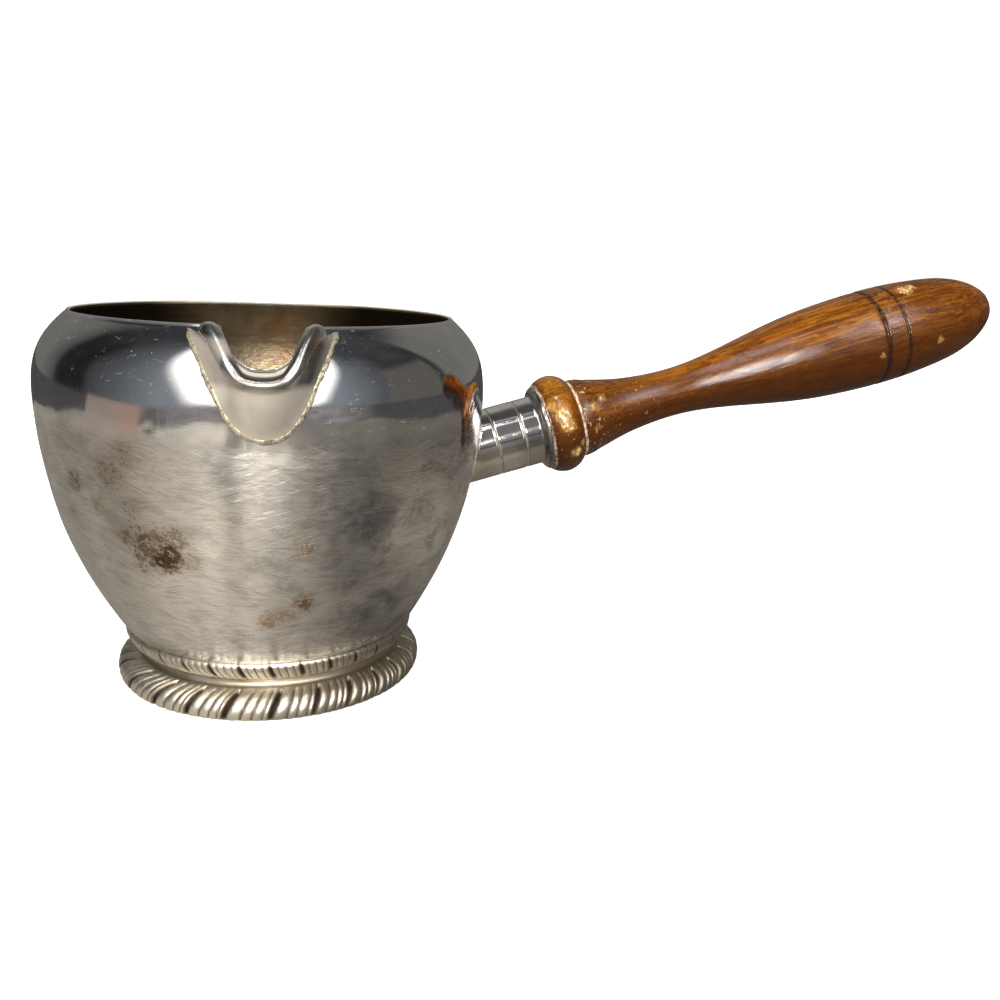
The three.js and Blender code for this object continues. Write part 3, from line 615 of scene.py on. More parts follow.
def varnished_wood():
    m, g = material("varnished_wood")
    p = g.place()
    s, u, v = handle_space(g, p)
    q = g.join(s, u, v)
    warp = g.noise(g.vec("MULTIPLY", q, (0.035, 0.10, 0.10)), 1.0, 3, 0.6)
    bent = g.join(s, g.add(u, g.mul(warp, 7.0)), g.add(v, g.mul(warp, -5.0)))
    figure = g.noise(g.vec("MULTIPLY", bent, (0.016, 0.42, 0.42)), 1.0, 4, 0.6)
    streak = g.noise(g.vec("MULTIPLY", bent, (0.030, 1.5, 1.5)), 1.0, 4, 0.65)
    fibre = g.noise(g.vec("MULTIPLY", bent, (0.22, 5.0, 5.0)), 1.0, 3, 0.6)
    pore = g.step(0.60, 0.70, g.noise(g.vec("MULTIPLY", bent, (0.30, 4.2, 4.2)), 1.0, 2, 0.5))
    blotch = g.noise(q, 0.10, 3, 0.6, 0.5)

    colour = g.mix(g.step(0.40, 0.60, figure), (0.235, 0.078, 0.0028), (0.110, 0.029, 0.0014))
    colour = g.mix(g.mul(g.step(0.48, 0.62, streak), 0.72), colour, (0.028, 0.0070, 0.0010))
    colour = g.mix(g.mul(g.step(0.45, 0.34, streak), 0.50), colour, (0.35, 0.132, 0.0065))
    colour = g.mix(g.mul(g.step(0.42, 0.60, fibre), 0.46), colour, (0.045, 0.012, 0.0014))
    colour = g.mix(g.mul(pore, 0.78), colour, (0.010, 0.003, 0.001))
    colour = g.mix(g.mul(g.step(0.45, 0.7, blotch), 0.28), colour, (0.18, 0.048, 0.0026))
    # The bead is more golden, going red-brown towards its two sides.
    golden = g.mul(g.band(s, 62.6, 64.0, 66.2, 68.0), g.mul(g.step(-8.0, 1.0, v), g.line(0.38, 0.60, 0.15, 1.0, g.noise(q, 0.7, 4, 0.65, 0.4))))
    colour = g.mix(g.mul(golden, 0.50), colour, (0.26, 0.115, 0.0050))
    sides = g.top(g.band(s, 61.6, 61.9, 62.4, 63.6), g.band(s, 67.6, 68.6, 69.6, 70.0))
    colour = g.mix(g.mul(sides, 0.55), colour, (0.070, 0.018, 0.0030))
    # Painted shade along the underside; darker also at the tip, past the turned lines and round the neck by the collar.
    shade = g.top(g.mul(g.step(6.8, -2.4, v), 0.88), g.top(g.mul(g.step(166.0, 176.5, s), 0.7), g.mul(g.band(s, 69.5, 70.5, 82.0, 98.0), 0.56)))
    shade = g.top(shade, g.mul(g.step(147.0, 158.0, s), 0.36))
    colour = g.mix(shade, colour, (0.034, 0.0090, 0.0020))
    # Turned lines burnt dark.
    wander = g.add(s, g.mul(g.sub(g.noise(q, 0.6, 2, 0.5), 0.5), 0.5))
    for at, wide, deep in ((143.0, 1.05, 0.97), (148.2, 0.80, 0.85)):
        near = g.math("ABSOLUTE", g.sub(wander, at))
        broken = g.line(0.35, 0.6, 0.45, 1.0, g.noise(q, 0.9, 3, 0.6))
        colour = g.mix(g.mul(g.step(wide, wide * 0.30, near), g.mul(broken, deep)), colour, (0.012, 0.007, 0.005))
    # Varnish rubbed through to pale wood: on the collar, the neck, the belly and by the tip; on the collar the patches
    # also carry a painted highlight.
    rub_noise = g.noise(q, 1.25, 4, 0.65, 0.3)
    rub_fine = g.noise(q, 3.4, 3, 0.65)
    rub_and_sheen = None
    for at, su, sv, r, w in ((65.0, -10.2, 3.9, 2.1, 1.0), (65.6, -10.7, 1.6, 1.9, 1.0), (66.6, -10.1, -5.2, 1.7, 0.95),
                             (63.2, -8.4, 6.0, 1.2, 0.9), (68.6, -9.9, -3.4, 1.1, 0.8), (73.2, -7.4, 3.2, 1.5, 0.6),
                             (75.5, -6.4, 4.6, 1.2, 0.55), (72.4, -8.0, -1.2, 1.0, 0.5),
                             (152.0, -5.0, 9.9, 2.2, 1.0), (154.0, -4.2, 9.9, 1.4, 0.9),
                             (156.4, -10.5, -2.6, 1.0, 1.0), (141.0, -11.2, -2.4, 0.8, 0.7), (65.5, 9.6, 4.5, 3.0, 0.9),
                             (66.5, 3.0, 10.4, 2.0, 0.7), (66.0, 2.0, -10.6, 2.6, 0.7), (110.0, 6.0, 4.5, 1.6, 0.6),
                             (150.0, 8.0, -7.4, 1.8, 0.7)):
        d = g.vec("DISTANCE", q, (at, su, sv))
        d = g.add(d, g.mul(g.sub(rub_noise, 0.5), r * 1.5))
        k = g.mul(g.step(r * 1.15, r * 0.45, d), w)
        rub_and_sheen = k if rub_and_sheen is None else g.top(rub_and_sheen, k)
    bead = g.band(s, 62.4, 63.0, 68.4, 69.3)
    # The bare places are clusters of small flecks on honey-coloured wood, not solid patches.
    fleck = g.noise(g.vec("MULTIPLY", q, (1.35, 1.0, 0.85)), 1.0, 5, 0.70, 0.6)
    open_grain = g.step(0.50, 0.57, g.add(fleck, g.mul(g.sub(rub_and_sheen, 1.0), 0.10)))
    stray = g.mul(g.step(0.635, 0.67, fleck), g.add(g.mul(bead, 0.85), g.mul(g.band(s, 69.9, 71.5, 84.0, 96.0), 0.42)))
    # Honey-coloured lightening under the rubbed places; on the collar it is a painted highlight on the varnish.
    colour = g.mix(g.mul(rub_and_sheen, 0.42), colour, (0.46, 0.26, 0.075))
    rub_and_sheen = g.mul(g.top(g.mul(rub_and_sheen, open_grain), stray), g.line(0.35, 0.6, 0.60, 1.0, rub_fine))
    colour = g.mix(g.mul(rub_and_sheen, 0.9), colour, g.mix(rub_fine, (0.80, 0.64, 0.40), (0.58, 0.37, 0.15)))
    # Old polish left in the groove behind the collar and as a line in front of it.
    residue = g.mul(g.step(0.40, 0.16, g.math("ABSOLUTE", g.sub(wander, 69.75))), g.line(0.42, 0.56, 0.10, 0.9, fleck))
    rim = g.mul(g.step(0.42, 0.14, g.math("ABSOLUTE", g.sub(wander, 62.05))), g.line(0.44, 0.58, 0.10, 0.85, rub_noise))
    splash = g.mul(g.band(s, 69.9, 70.3, 71.5, 77.0), g.step(0.585, 0.64, g.noise(g.vec("MULTIPLY", q, (0.8, 1.0, 1.0)), 1.0, 5, 0.72, 0.5)))
    colour = g.mix(g.top(residue, g.top(rim, g.mul(splash, 0.50))), colour, (0.62, 0.51, 0.37))
    # Pale scuffs across the two lines.
    scuff = g.mul(g.band(s, 141.0, 143.0, 150.0, 153.0), g.mul(g.step(2.0, 6.0, v), g.step(0.58, 0.66, g.noise(g.vec("MULTIPLY", q, (1.1, 2.6, 2.6)), 1.0, 4, 0.65))))
    colour = g.mix(g.mul(scuff, 0.30), colour, (0.42, 0.34, 0.25))

    worn = g.top(rub_and_sheen, residue)
    rough = g.add(0.30, g.add(g.mul(fibre, 0.10), g.mul(worn, 0.25)))
    grain_h = g.add(g.mul(pore, -0.7), g.add(g.mul(fibre, 0.35), g.mul(streak, 0.25)))
    n1 = g.bump(grain_h, 0.30, 0.00012)
    n2 = g.bump(g.mul(worn, -1.0), 0.5, 0.00012, n1)
    # The varnish lies thin over the open grain, so its shine breaks up into fine long streaks.
    strand = g.noise(g.vec("MULTIPLY", bent, (0.20, 2.2, 2.2)), 1.0, 3, 0.65)
    coat_bump = g.bump(g.add(g.mul(fibre, 0.6), g.add(g.mul(strand, 1.3), g.mul(g.noise(q, 0.8, 4, 0.6), 0.5))), 0.46, 0.00012)
    g.shader(colour, rough, 0.0, n2, coat=0.60, coat_rough=0.12, coat_normal=coat_bump, ior=1.45, specular=0.03)
    return m


def pin_brass():
    m, g = material("pin_brass")
    p = g.place()
    a = g.noise(p, 1.8, 4, 0.6)
    b = g.noise(p, 6.0, 3, 0.6)
    colour = g.mix(g.step(0.4, 0.65, a), (0.72, 0.60, 0.38), (0.42, 0.30, 0.15))
    n1 = g.bump(g.add(a, b), 0.4, 0.00010)
    g.shader(colour, g.add(0.24, g.mul(b, 0.2)), 1.0, n1)
    return m


MAT_OUT, MAT_IN, MAT_LIP = silver_outside(), silver_inside(), silver_lip()
MAT_LIP_SOLDER = solder("solder_lip", (0.33, 0.28, 0.195), (0.11, 0.082, 0.050))
MAT_SOCKET_SOLDER = solder("solder_socket", (0.66, 0.60, 0.47), (0.30, 0.24, 0.16))
MAT_FOOT_SOLDER = solder("solder_foot", (0.42, 0.40, 0.36), (0.16, 0.14, 0.12))
MAT_CAST, MAT_SOCKET, MAT_WOOD, MAT_PIN = cast_silver(), silver_socket(), varnished_wood(), pin_brass()

# ---------------------------------------------------------------- bowl
outside = curve([(21.9, 3.2)] + BOWL_OUTSIDE, 12)[12:]
OUT_Z, OUT_R = outside[:, 1], outside[:, 0]


def r_out(z):
    return np.interp(z, OUT_Z, OUT_R)


def slope_out(z):
    return (r_out(np.asarray(z) + 0.25) - r_out(np.asarray(z) - 0.25)) / 0.5


def inward(line, distance):
    t = np.gradient(line, axis=0)
    t /= np.linalg.norm(t, axis=1)[:, None]
    return line + np.stack([-t[:, 1], t[:, 0]], 1) * distance


inside_line = inward(outside, WALL)
taper = smooth(70.0, 76.24, outside[:, 1])
inside_line[:, 0] = inside_line[:, 0] * (1 - taper) + np.maximum(inside_line[:, 0], outside[:, 0] - 0.72) * taper
inside_line[-1] = (RIM_INNER, 76.24)
IN_Z, IN_R = inside_line[:, 1], inside_line[:, 0]


def r_in(z):
    return np.interp(z, IN_Z, IN_R)


LIP_INNER_CURVE = curve(LIP_INNER[:7], 12)

# Small dents and flat spots, as (azimuth, height, radius, depth) with height in mm.
DENTS = (
    (-42, 50.4, 1.4, 0.10), (-42, 48.4, 1.2, 0.08), (-47, 46.0, 1.5, 0.07), (-94, 47.3, 0.9, 0.06), (-116, 59.4, 1.0, 0.10),
    (-77, 58.6, 1.4, 0.08), (-71, 71.5, 1.1, 0.04), (-88, 56.0, 2.6, 0.08), (-104, 57.5, 3.0, 0.07), (-66, 58.0, 3.0, 0.08),
    (-137, 57.6, 3.5, 0.08), (-125, 56.4, 3.0, 0.06), (120, 30.0, 4.0, 0.12), (60, 44.0, 3.0, 0.10), (170, 58.0, 3.0, 0.08),
    (20, 36.0, 3.0, 0.08),
)


def bowl_wobble(angle, z):
    """Hand-finished unevenness of the sheet."""
    deg = np.degrees(angle)
    w = 0.040 * np.sin(3 * angle + 0.13 * z + 1.0) + 0.030 * np.sin(5 * angle - 0.19 * z + 2.3)
    w += 0.014 * np.sin(11 * angle + 0.42 * z) + 0.010 * np.sin(17 * angle - 0.37 * z + 0.7)
    for a, h, r, d in DENTS:
        da = (deg - a + 180) % 360 - 180
        across = np.radians(da) * r_out(h)
        w -= d * np.exp(-(across ** 2 + (z - h) ** 2) / (2 * (r * 0.6) ** 2))
    return w * smooth(9.0, 16.0, z)


def make_bowl():
    near = np.concatenate([np.arange(-18, 18.001, 0.3), np.arange(19.0, 342.0, 1.0)])
    phi = np.radians(near)  # from the lip's middle, turning towards +X
    angle = phi + math.radians(-90) + LIP_TURN
    cols = len(phi)
    out_line = respaced(outside[outside[:, 1] <= 54.01], step=1.1)
    out_top = outside[outside[:, 1] >= 54.0]
    in_top = inside_line[inside_line[:, 1] >= 54.0]
    in_low = respaced(inside_line[inside_line[:, 1] <= 54.01], step=1.4)
    rows, where = [], []  # (cols, 3) rows in order, and 0 outside, 1 inside

    def ring(r, z, side):
        r = np.broadcast_to(np.asarray(r, float), (cols,))
        z = np.broadcast_to(np.asarray(z, float), (cols,))
        w = bowl_wobble(angle, z)
        rows.append(np.stack([(r + w) * np.cos(angle), (r + w) * np.sin(angle), z], 1))
        where.append(side)

    for r, z in BOWL_UNDER[1:]:
        ring(r, z, 0)
    for r, z in out_line[:-1]:
        ring(r, z, 0)

    # Height at which the notch cuts each column, on either face of the wall.
    def cut(top_line, drop):
        z = np.full(cols, 76.24)
        for _ in range(6):
            r = np.interp(z, top_line[:, 1], top_line[:, 0])
            side = np.abs(r * np.sin(phi))
            nz = np.interp(side, LIP_INNER_CURVE[:, 0], LIP_INNER_CURVE[:, 1]) - drop
            z = np.where((side < 7.1) & (np.cos(phi) > 0), np.minimum(76.24, nz), 76.24)
        return z

    z_out, z_in = cut(out_top, 0.95), cut(in_top, 0.55)
    steps = 26
    d_out = np.r_[0, np.cumsum(np.linalg.norm(np.diff(out_top, axis=0), axis=1))]
    d_in = np.r_[0, np.cumsum(np.linalg.norm(np.diff(in_top, axis=0), axis=1))]
    end_out = np.interp(z_out, out_top[:, 1], d_out)
    end_in = np.interp(z_in, in_top[:, 1], d_in)
    for k in range(steps + 1):
        d = end_out * k / steps
        ring(np.interp(d, d_out, out_top[:, 0]), np.interp(d, d_out, out_top[:, 1]), 0)
    # Rim: a small rounded edge, flat across the notch.
    full = (z_out > 76.2) & (z_in > 76.1)
    ro, ri = np.interp(z_out, out_top[:, 1], out_top[:, 0]), np.interp(z_in, in_top[:, 1], in_top[:, 0])
    for k in range(1, 6):
        a = math.pi * k / 6
        t = (1 - math.cos(a)) / 2
        rise = np.where(full, 0.26, 0.03) * math.sin(a)
        ring(ro + (ri - ro) * t, z_out + (z_in - z_out) * t + rise, 0 if k < 4 else 1)
    for k in range(steps + 1):
        d = end_in * (1 - k / steps)
        ring(np.interp(d, d_in, in_top[:, 0]), np.interp(d, d_in, in_top[:, 1]), 1)
    for r, z in in_low[-2::-1]:
        if z > 4.2:
            ring(r, z, 1)
    for r, z in ((21.4, 3.55), (19.3, 3.1), (16.0, 2.92), (8.0, 2.9)):
        ring(r, z, 1)
    n = len(rows)
    v = np.vstack(rows)
    f = grid_faces(n, cols).tolist()
    side = np.repeat([1 if where[i] and where[i + 1] else 0 for i in range(n - 1)], cols).tolist()
    v = np.vstack([v, [[0, 0, 2.0], [0, 0, 2.9]]])
    bottom, top = n * cols, n * cols + 1
    for c in range(cols):
        f.append((bottom, (c + 1) % cols, c))
        side.append(0)
        f.append((top, (n - 1) * cols + c, (n - 1) * cols + (c + 1) % cols))
        side.append(1)
    return piece("bowl_shell", v, f, [MAT_OUT, MAT_IN], side)


bowl = make_bowl()
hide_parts("bowl")


# ---------------------------------------------------------------- pouring lip
def turn(points):
    """From the lip's own frame, middle towards -Y, to the bowl's."""
    c, s = math.cos(LIP_TURN), math.sin(LIP_TURN)
    p = np.asarray(points, float)
    return np.stack([c * p[:, 0] - s * p[:, 1], s * p[:, 0] + c * p[:, 1], p[:, 2]], 1)


def both_sides(half):
    h = np.asarray(half, float)
    left = h[:0:-1].copy()
    left[:, 0] *= -1
    return np.vstack([left, h])


LIP_RIBS = 113
roll_line = respaced(np.hstack([curve(both_sides(LIP_ROLL), 14), np.linspace(0, 1, 14 * 16 + 1)[:, None]]), count=400)
key = roll_line[:, 4]
ribs_at = np.linspace(0, 1, LIP_RIBS)
inner_curve = curve(both_sides(LIP_INNER), 14)
seam_curve = curve(both_sides(LIP_SEAM), 14)
base = np.linspace(0, 1, len(inner_curve))
roll_curve = curve(both_sides(LIP_ROLL), 14)
E = np.stack([np.interp(ribs_at, base, roll_curve[:, k]) for k in range(4)], 1)
A2 = np.stack([np.interp(ribs_at, base, inner_curve[:, k]) for k in range(2)], 1)
B2 = np.stack([np.interp(ribs_at, base, seam_curve[:, k]) for k in range(2)], 1)
A3 = np.stack([A2[:, 0], -np.sqrt(np.maximum(r_in(A2[:, 1]) ** 2 - A2[:, 0] ** 2, 1)), A2[:, 1]], 1)
B3 = np.stack([B2[:, 0], -np.sqrt(np.maximum(r_out(B2[:, 1]) ** 2 - B2[:, 0] ** 2, 1)), B2[:, 1]], 1)


def rod(centres, radii, sides=28, ends=6):
    """A closed round rod of changing thickness along a line, with rounded ends."""
    t = np.gradient(centres, axis=0)
    t /= np.linalg.norm(t, axis=1)[:, None]
    across = np.cross(t, np.array([0.0, 0.62, -0.78]))
    across /= np.linalg.norm(across, axis=1)[:, None]
    other = np.cross(across, t)
    rings = []
    for i, sign in [(0, -1)] * ends + [(j, 0) for j in range(len(centres))] + [(len(centres) - 1, 1)] * ends:
        rings.append([i, sign])
    for k in range(ends):
        rings[k].append(math.radians(84.0 - 84.0 * k / ends))
        rings[-1 - k].append(math.radians(84.0 - 84.0 * k / ends))
    a = np.linspace(0, 2 * math.pi, sides, endpoint=False)
    v = []
    for r in rings:
        i, sign = r[0], r[1]
        bend = r[2] if len(r) > 2 else 0.0
        c = centres[i] + t[i] * sign * radii[i] * math.sin(bend)
        q = radii[i] * math.cos(bend)
        v.append(c + q * (np.cos(a)[:, None] * across[i] + np.sin(a)[:, None] * other[i]))
    n = len(v)
    f = grid_faces(n, sides).tolist()
    v = np.vstack(v + [centres[0] - t[0] * radii[0], centres[-1] + t[-1] * radii[-1]])
    for c in range(sides):
        f.append((n * sides, (c + 1) % sides, c))
        f.append((n * sides + 1, (n - 1) * sides + c, (n - 1) * sides + (c + 1) % sides))
    return v, f


def fused(vertices, faces, voxel, rounds):
    """One closed skin over solids that overlap, with its creases softened."""
    mesh = bpy.data.meshes.new("fused")
    mesh.from_pydata(np.asarray(vertices).tolist(), [], [tuple(int(i) for i in f) for f in faces])
    o = bpy.data.objects.new("fused", mesh)
    bpy.context.scene.collection.objects.link(o)
    skin = o.modifiers.new("skin", "REMESH")
    skin.mode = "VOXEL"
    skin.voxel_size = voxel
    made = o.evaluated_get(bpy.context.evaluated_depsgraph_get())
    m = made.to_mesh()
    v = np.empty(len(m.vertices) * 3)
    m.vertices.foreach_get("co", v)
    v = v.reshape(-1, 3)
    f = [tuple(q.vertices) for q in m.polygons]
    e = np.empty(len(m.edges) * 2, np.int64)
    m.edges.foreach_get("vertices", e)
    e = e.reshape(-1, 2)
    made.to_mesh_clear()
    bpy.data.objects.remove(o)
    bpy.data.meshes.remove(mesh)
    count = np.maximum(np.bincount(e.ravel(), minlength=len(v)), 1)[:, None]
    for k in range(rounds):
        near = np.zeros_like(v)
        for axis in range(3):
            near[:, axis] = (np.bincount(e[:, 0], v[e[:, 1], axis], len(v)) + np.bincount(e[:, 1], v[e[:, 0], axis], len(v)))
        v = v + (near / count - v) * (0.55 if k % 2 == 0 else -0.50)
    return v, f


def make_lip():
    loops, seam_w, trough_w = [], [], []
    for i in range(LIP_RIBS):
        e = np.array([E[i, 0], -E[i, 1], E[i, 2]])
        rr = E[i, 3] * 0.80
        a, b = A3[i], B3[i]
        da, db = a - e, b - e
        ua = da / np.linalg.norm(da)
        normal = np.cross(ua, db)
        normal /= np.linalg.norm(normal)
        ub = np.cross(normal, ua)
        angle_b = math.atan2(db @ ub, db @ ua)  # between 0 and pi
        ta = math.acos(min(1.0, rr / np.linalg.norm(da)))
        tb = math.acos(min(1.0, rr / np.linalg.norm(db)))
        keep = min(1.0, E[i, 3] / 1.1)
        start = -(ta - math.radians(24) * keep)
        stop = angle_b + tb - math.radians(36) * keep - 2 * math.pi
        on = lambda t: e + rr * (math.cos(t) * ua + math.sin(t) * ub)
        p1, p2 = on(start), on(stop)
        # Trough: up the wall's inside, rounded over its edge, then dished out to the roll.
        foot_a = a * np.array([1 - 0.12 / 41, 1 - 0.12 / 41, 1]) - np.array([0, 0, 1.5 * keep])
        t = np.linspace(0, 1, 20)[:, None]
        corner = a + (p1 - a) * 0.18 + np.array([0, 0, 0.12])
        trough = (1 - t) ** 2 * foot_a + 2 * t * (1 - t) * corner + t ** 2 * p1
        away = np.cross(p1 - a, normal)
        away /= np.linalg.norm(away)
        if away @ (e - a) < 0:
            away = -away
        trough = trough + away * np.sin(np.pi * t) ** 2 * 0.16 * keep
        arc = np.array([on(q) for q in np.linspace(start, stop, 22)[1:-1]])
        # Outer face: gently full between the roll and the seam.
        t = np.linspace(0, 1, 22)[:, None]
        out_dir = np.cross(b - p2, normal)
        out_dir /= np.linalg.norm(out_dir)
        if out_dir @ (p2 - e) < 0:
            out_dir = -out_dir
        length = np.linalg.norm(b - p2)
        q = t * length / 0.7
        hollow = -0.16 * keep * q * np.exp(1 - q)
        full = 0.060 * length * np.sin(np.pi * np.clip(t, 0, 1)) ** 1.2
        face = p2 + (b - p2) * t + out_dir * (full + hollow)
        # Back through the wall.
        mid_b = b * np.array([1 - 0.45 / 45, 1 - 0.45 / 45, 1]) + np.array([0, 0, 0.1])
        mid_a = a * np.array([1 + 0.35 / 42, 1 + 0.35 / 42, 1]) - np.array([0, 0, 0.25])
        loop = np.vstack([trough, arc, face, [mid_b], [mid_a]])
        loops.append(loop)
        far = np.linalg.norm(loop - b, axis=1)
        seam_w.append(np.clip(1 - far / 2.2, 0, 1))
        w = np.zeros(len(loop))
        w[:20] = np.linspace(1, 0.0, 20)
        trough_w.append(w)
    m = len(loops[0])
    v = turn(np.vstack(loops))
    f = grid_faces(LIP_RIBS, m, wrap_cols=True).tolist()
    n = len(v)
    ends = [loops[0].mean(0), loops[-1].mean(0)]
    v = np.vstack([v, turn(np.array(ends))])
    for c in range(m):
        f.append((n, (c + 1) % m, c))
        f.append((n + 1, (LIP_RIBS - 1) * m + c, (LIP_RIBS - 1) * m + (c + 1) % m))
    # The rolled edge itself, a rod that swells into a knob at either end.
    walk = respaced(np.stack([roll_curve[:, 0], -roll_curve[:, 1], roll_curve[:, 2], roll_curve[:, 3]], 1), count=150)
    x = np.linspace(0, 9, len(walk))
    rv, rf = rod(turn(walk[:, :3]), walk[:, 3] * (1 + 0.025 * soft_noise(x, 8, 4)))
    f += [tuple(i + len(v) for i in q) for q in rf]
    marks = np.stack([np.r_[np.concatenate(seam_w), 0, 0, np.zeros(len(rv))],
                      np.r_[np.concatenate(trough_w), 0, 0, np.zeros(len(rv))]], 1)
    v = np.vstack([v, rv])
    tree = kdtree.KDTree(len(v))
    for i, p in enumerate(v):
        tree.insert(p, i)
    tree.balance()
    v, f = fused(v, f, 0.17, 8)
    near = np.array([marks[[hit[1] for hit in tree.find_n(p, 5)]].mean(0) for p in v])
    return piece("pouring_lip_shell", v, f, [MAT_LIP], attributes={"seam": near[:, 0], "trough": near[:, 1]})


lip = make_lip()
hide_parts("pouring_lip")


def bead_along(name, line, normals, width, height, mat, seed, sink=0.12, wave=0.25):
    """A low uneven bead of solder lying on a surface along a line."""
    n = len(line)
    t = np.gradient(line, axis=0)
    t /= np.linalg.norm(t, axis=1)[:, None]
    nn = normals / np.linalg.norm(normals, axis=1)[:, None]
    b = np.cross(t, nn)
    k = 12
    x = np.linspace(0, n * 0.35, n)
    w = width * (1 + wave * soft_noise(x, seed, 6, 0.8))
    h = height * (1 + wave * soft_noise(x, seed + 1, 6, 0.9))
    ends = smooth(0, 4, np.arange(n)) * smooth(0, 4, np.arange(n)[::-1]) * 0.85 + 0.15
    rows = []
    for i in range(n):
        a = np.linspace(0, 2 * math.pi, k, endpoint=False)
        up = np.where(np.sin(a) > 0, np.sin(a) * h[i], np.sin(a) * sink) * ends[i]
        side = np.cos(a) * w[i] / 2 * ends[i]
        rows.append(line[i] + b[i] * side[:, None] + nn[i] * up[:, None])
    v = np.vstack(rows + [line[:1], line[-1:]])
    f = grid_faces(n, k).tolist()
    for c in range(k):
        f.append((n * k, (c + 1) % k, c))
        f.append((n * k + 1, (n - 1) * k + c, (n - 1) * k + (c + 1) % k))
    return piece(name, v, f, [mat])


def bowl_normal(p):
    a = np.arctan2(p[:, 1], p[:, 0])
    return np.stack([np.cos(a), np.sin(a), -slope_out(np.clip(p[:, 2], 6, 75.9))], 1)


seam_line = respaced(B3[3:-3], step=0.35)
seam_line = turn(seam_line)
ang = np.arctan2(seam_line[:, 1], seam_line[:, 0])
rad = r_out(seam_line[:, 2]) + bowl_wobble(ang, seam_line[:, 2]) + 0.02
seam_line = np.stack([rad * np.cos(ang), rad * np.sin(ang), seam_line[:, 2]], 1)
lip_seam = bead_along("lip_solder_bead", seam_line, bowl_normal(seam_line), 1.15, 0.13, MAT_LIP_SOLDER, 21, sink=0.10, wave=0.40)
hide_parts("lip_solder")


# ---------------------------------------------------------------- cast foot with its gadroon roll and leaf row
GROOVES = [-170.8, -154.0, -137.5, -122.2, -107.5, -92.0, -76.3, -63.3, -50.1, -37.1, -23.2]
while GROOVES[-1] + 13.8 < 360 - 170.8 - 8:
    GROOVES.append(GROOVES[-1] + 13.6 + 1.3 * math.sin(len(GROOVES) * 2.1))
GROOVES = np.array(GROOVES)


def gadroon(deg, t):
    """Depth in mm below the roll's surface, and how shut-in the place is, at t from the bottom edge (0) to the neck (1)."""
    lean = 4.9 + 3.6 * (1 - smooth(-150, -105, deg)) + 1.2 * smooth(0, 60, deg)
    turned = deg - lean * (t ** 1.35) + 0.35 * np.sin(np.radians(deg) * 9)
    turned = (turned + 170.8) % 360 - 170.8
    edges = np.r_[GROOVES, GROOVES[0] + 360]
    i = np.clip(np.searchsorted(edges, turned, side="right") - 1, 0, len(GROOVES) - 1)
    start, width = edges[i], edges[i + 1] - edges[i]
    u = (turned - start) / width
    jitter = np.random.default_rng(5).uniform(-0.03, 0.03, (len(GROOVES), 4))
    cuts = np.stack([np.zeros(len(GROOVES)), 0.37 + jitter[:, 0], 0.60 + jitter[:, 1], 0.81 + jitter[:, 2], np.ones(len(GROOVES))], 1)
    depth = np.zeros_like(u)
    shut = np.zeros_like(u)
    arc = np.radians(width) * 31.5  # mm round the roll
    for k in range(4):
        a, b = cuts[i, k], cuts[i, k + 1]
        inside = (u >= a) & (u <= b)
        w = (u - a) / (b - a)
        round_top = 1 - np.sqrt(np.clip(1 - np.abs(2 * w - 1) ** 1.9, 0, 1))
        size = 0.45 + 0.12 * (k == 0)
        depth = np.where(inside, round_top * size, depth)
        shut = np.where(inside, round_top ** 1.35, shut)
    away = np.minimum(u, 1 - u) * arc
    opened = 0.34 + 0.30 * np.sin(np.pi * np.clip(t, 0, 1)) ** 0.8  # widest half-way up
    pit = np.exp(-(away / opened) ** 2)
    depth = depth + pit * 0.50
    shut = np.maximum(shut, pit ** 0.7)
    fade = smooth(-0.02, 0.14, t) * smooth(1.0, 0.84, t)
    depth *= 0.45 + 0.55 * smooth(0.0, 0.22, t)
    depth *= smooth(1.02, 0.88, t)
    return depth, shut * (0.35 + 0.65 * fade)


def leaf_row(deg, t):
    """The small counter-slanted beads above the neck, t from the neck (0) to the bowl (1)."""
    pitch = 360 / 32
    lean = -2.6 * t
    turned = deg - lean - 147.4
    u = (turned / pitch) % 1.0
    index = np.floor(turned / pitch)
    which = u * 4
    k = np.floor(which)
    w = which - k
    round_top = 1 - np.sqrt(np.clip(1 - np.abs(2 * w - 1) ** 2.2, 0, 1))
    wob = 0.5 + 0.5 * np.sin(index * 2.7 + k * 1.9)
    depth = round_top * (0.38 + 0.08 * wob)
    shut = round_top ** 1.25
    away = np.minimum(u, 1 - u) * np.radians(pitch) * 29.3
    pit = np.exp(-(away / (0.30 + 0.22 * np.sin(np.pi * np.clip(t, 0, 1)))) ** 2)
    depth = depth + pit * 0.42
    shut = np.maximum(shut, pit ** 0.8)
    low_end = smooth(0.30, 0.02, t)
    depth = depth * smooth(-0.02, 0.16, t) * smooth(1.0, 0.72, t) - 0.05 * low_end
    return depth, shut * smooth(-0.05, 0.2, t) * (0.5 + 0.5 * smooth(1.0, 0.7, t))


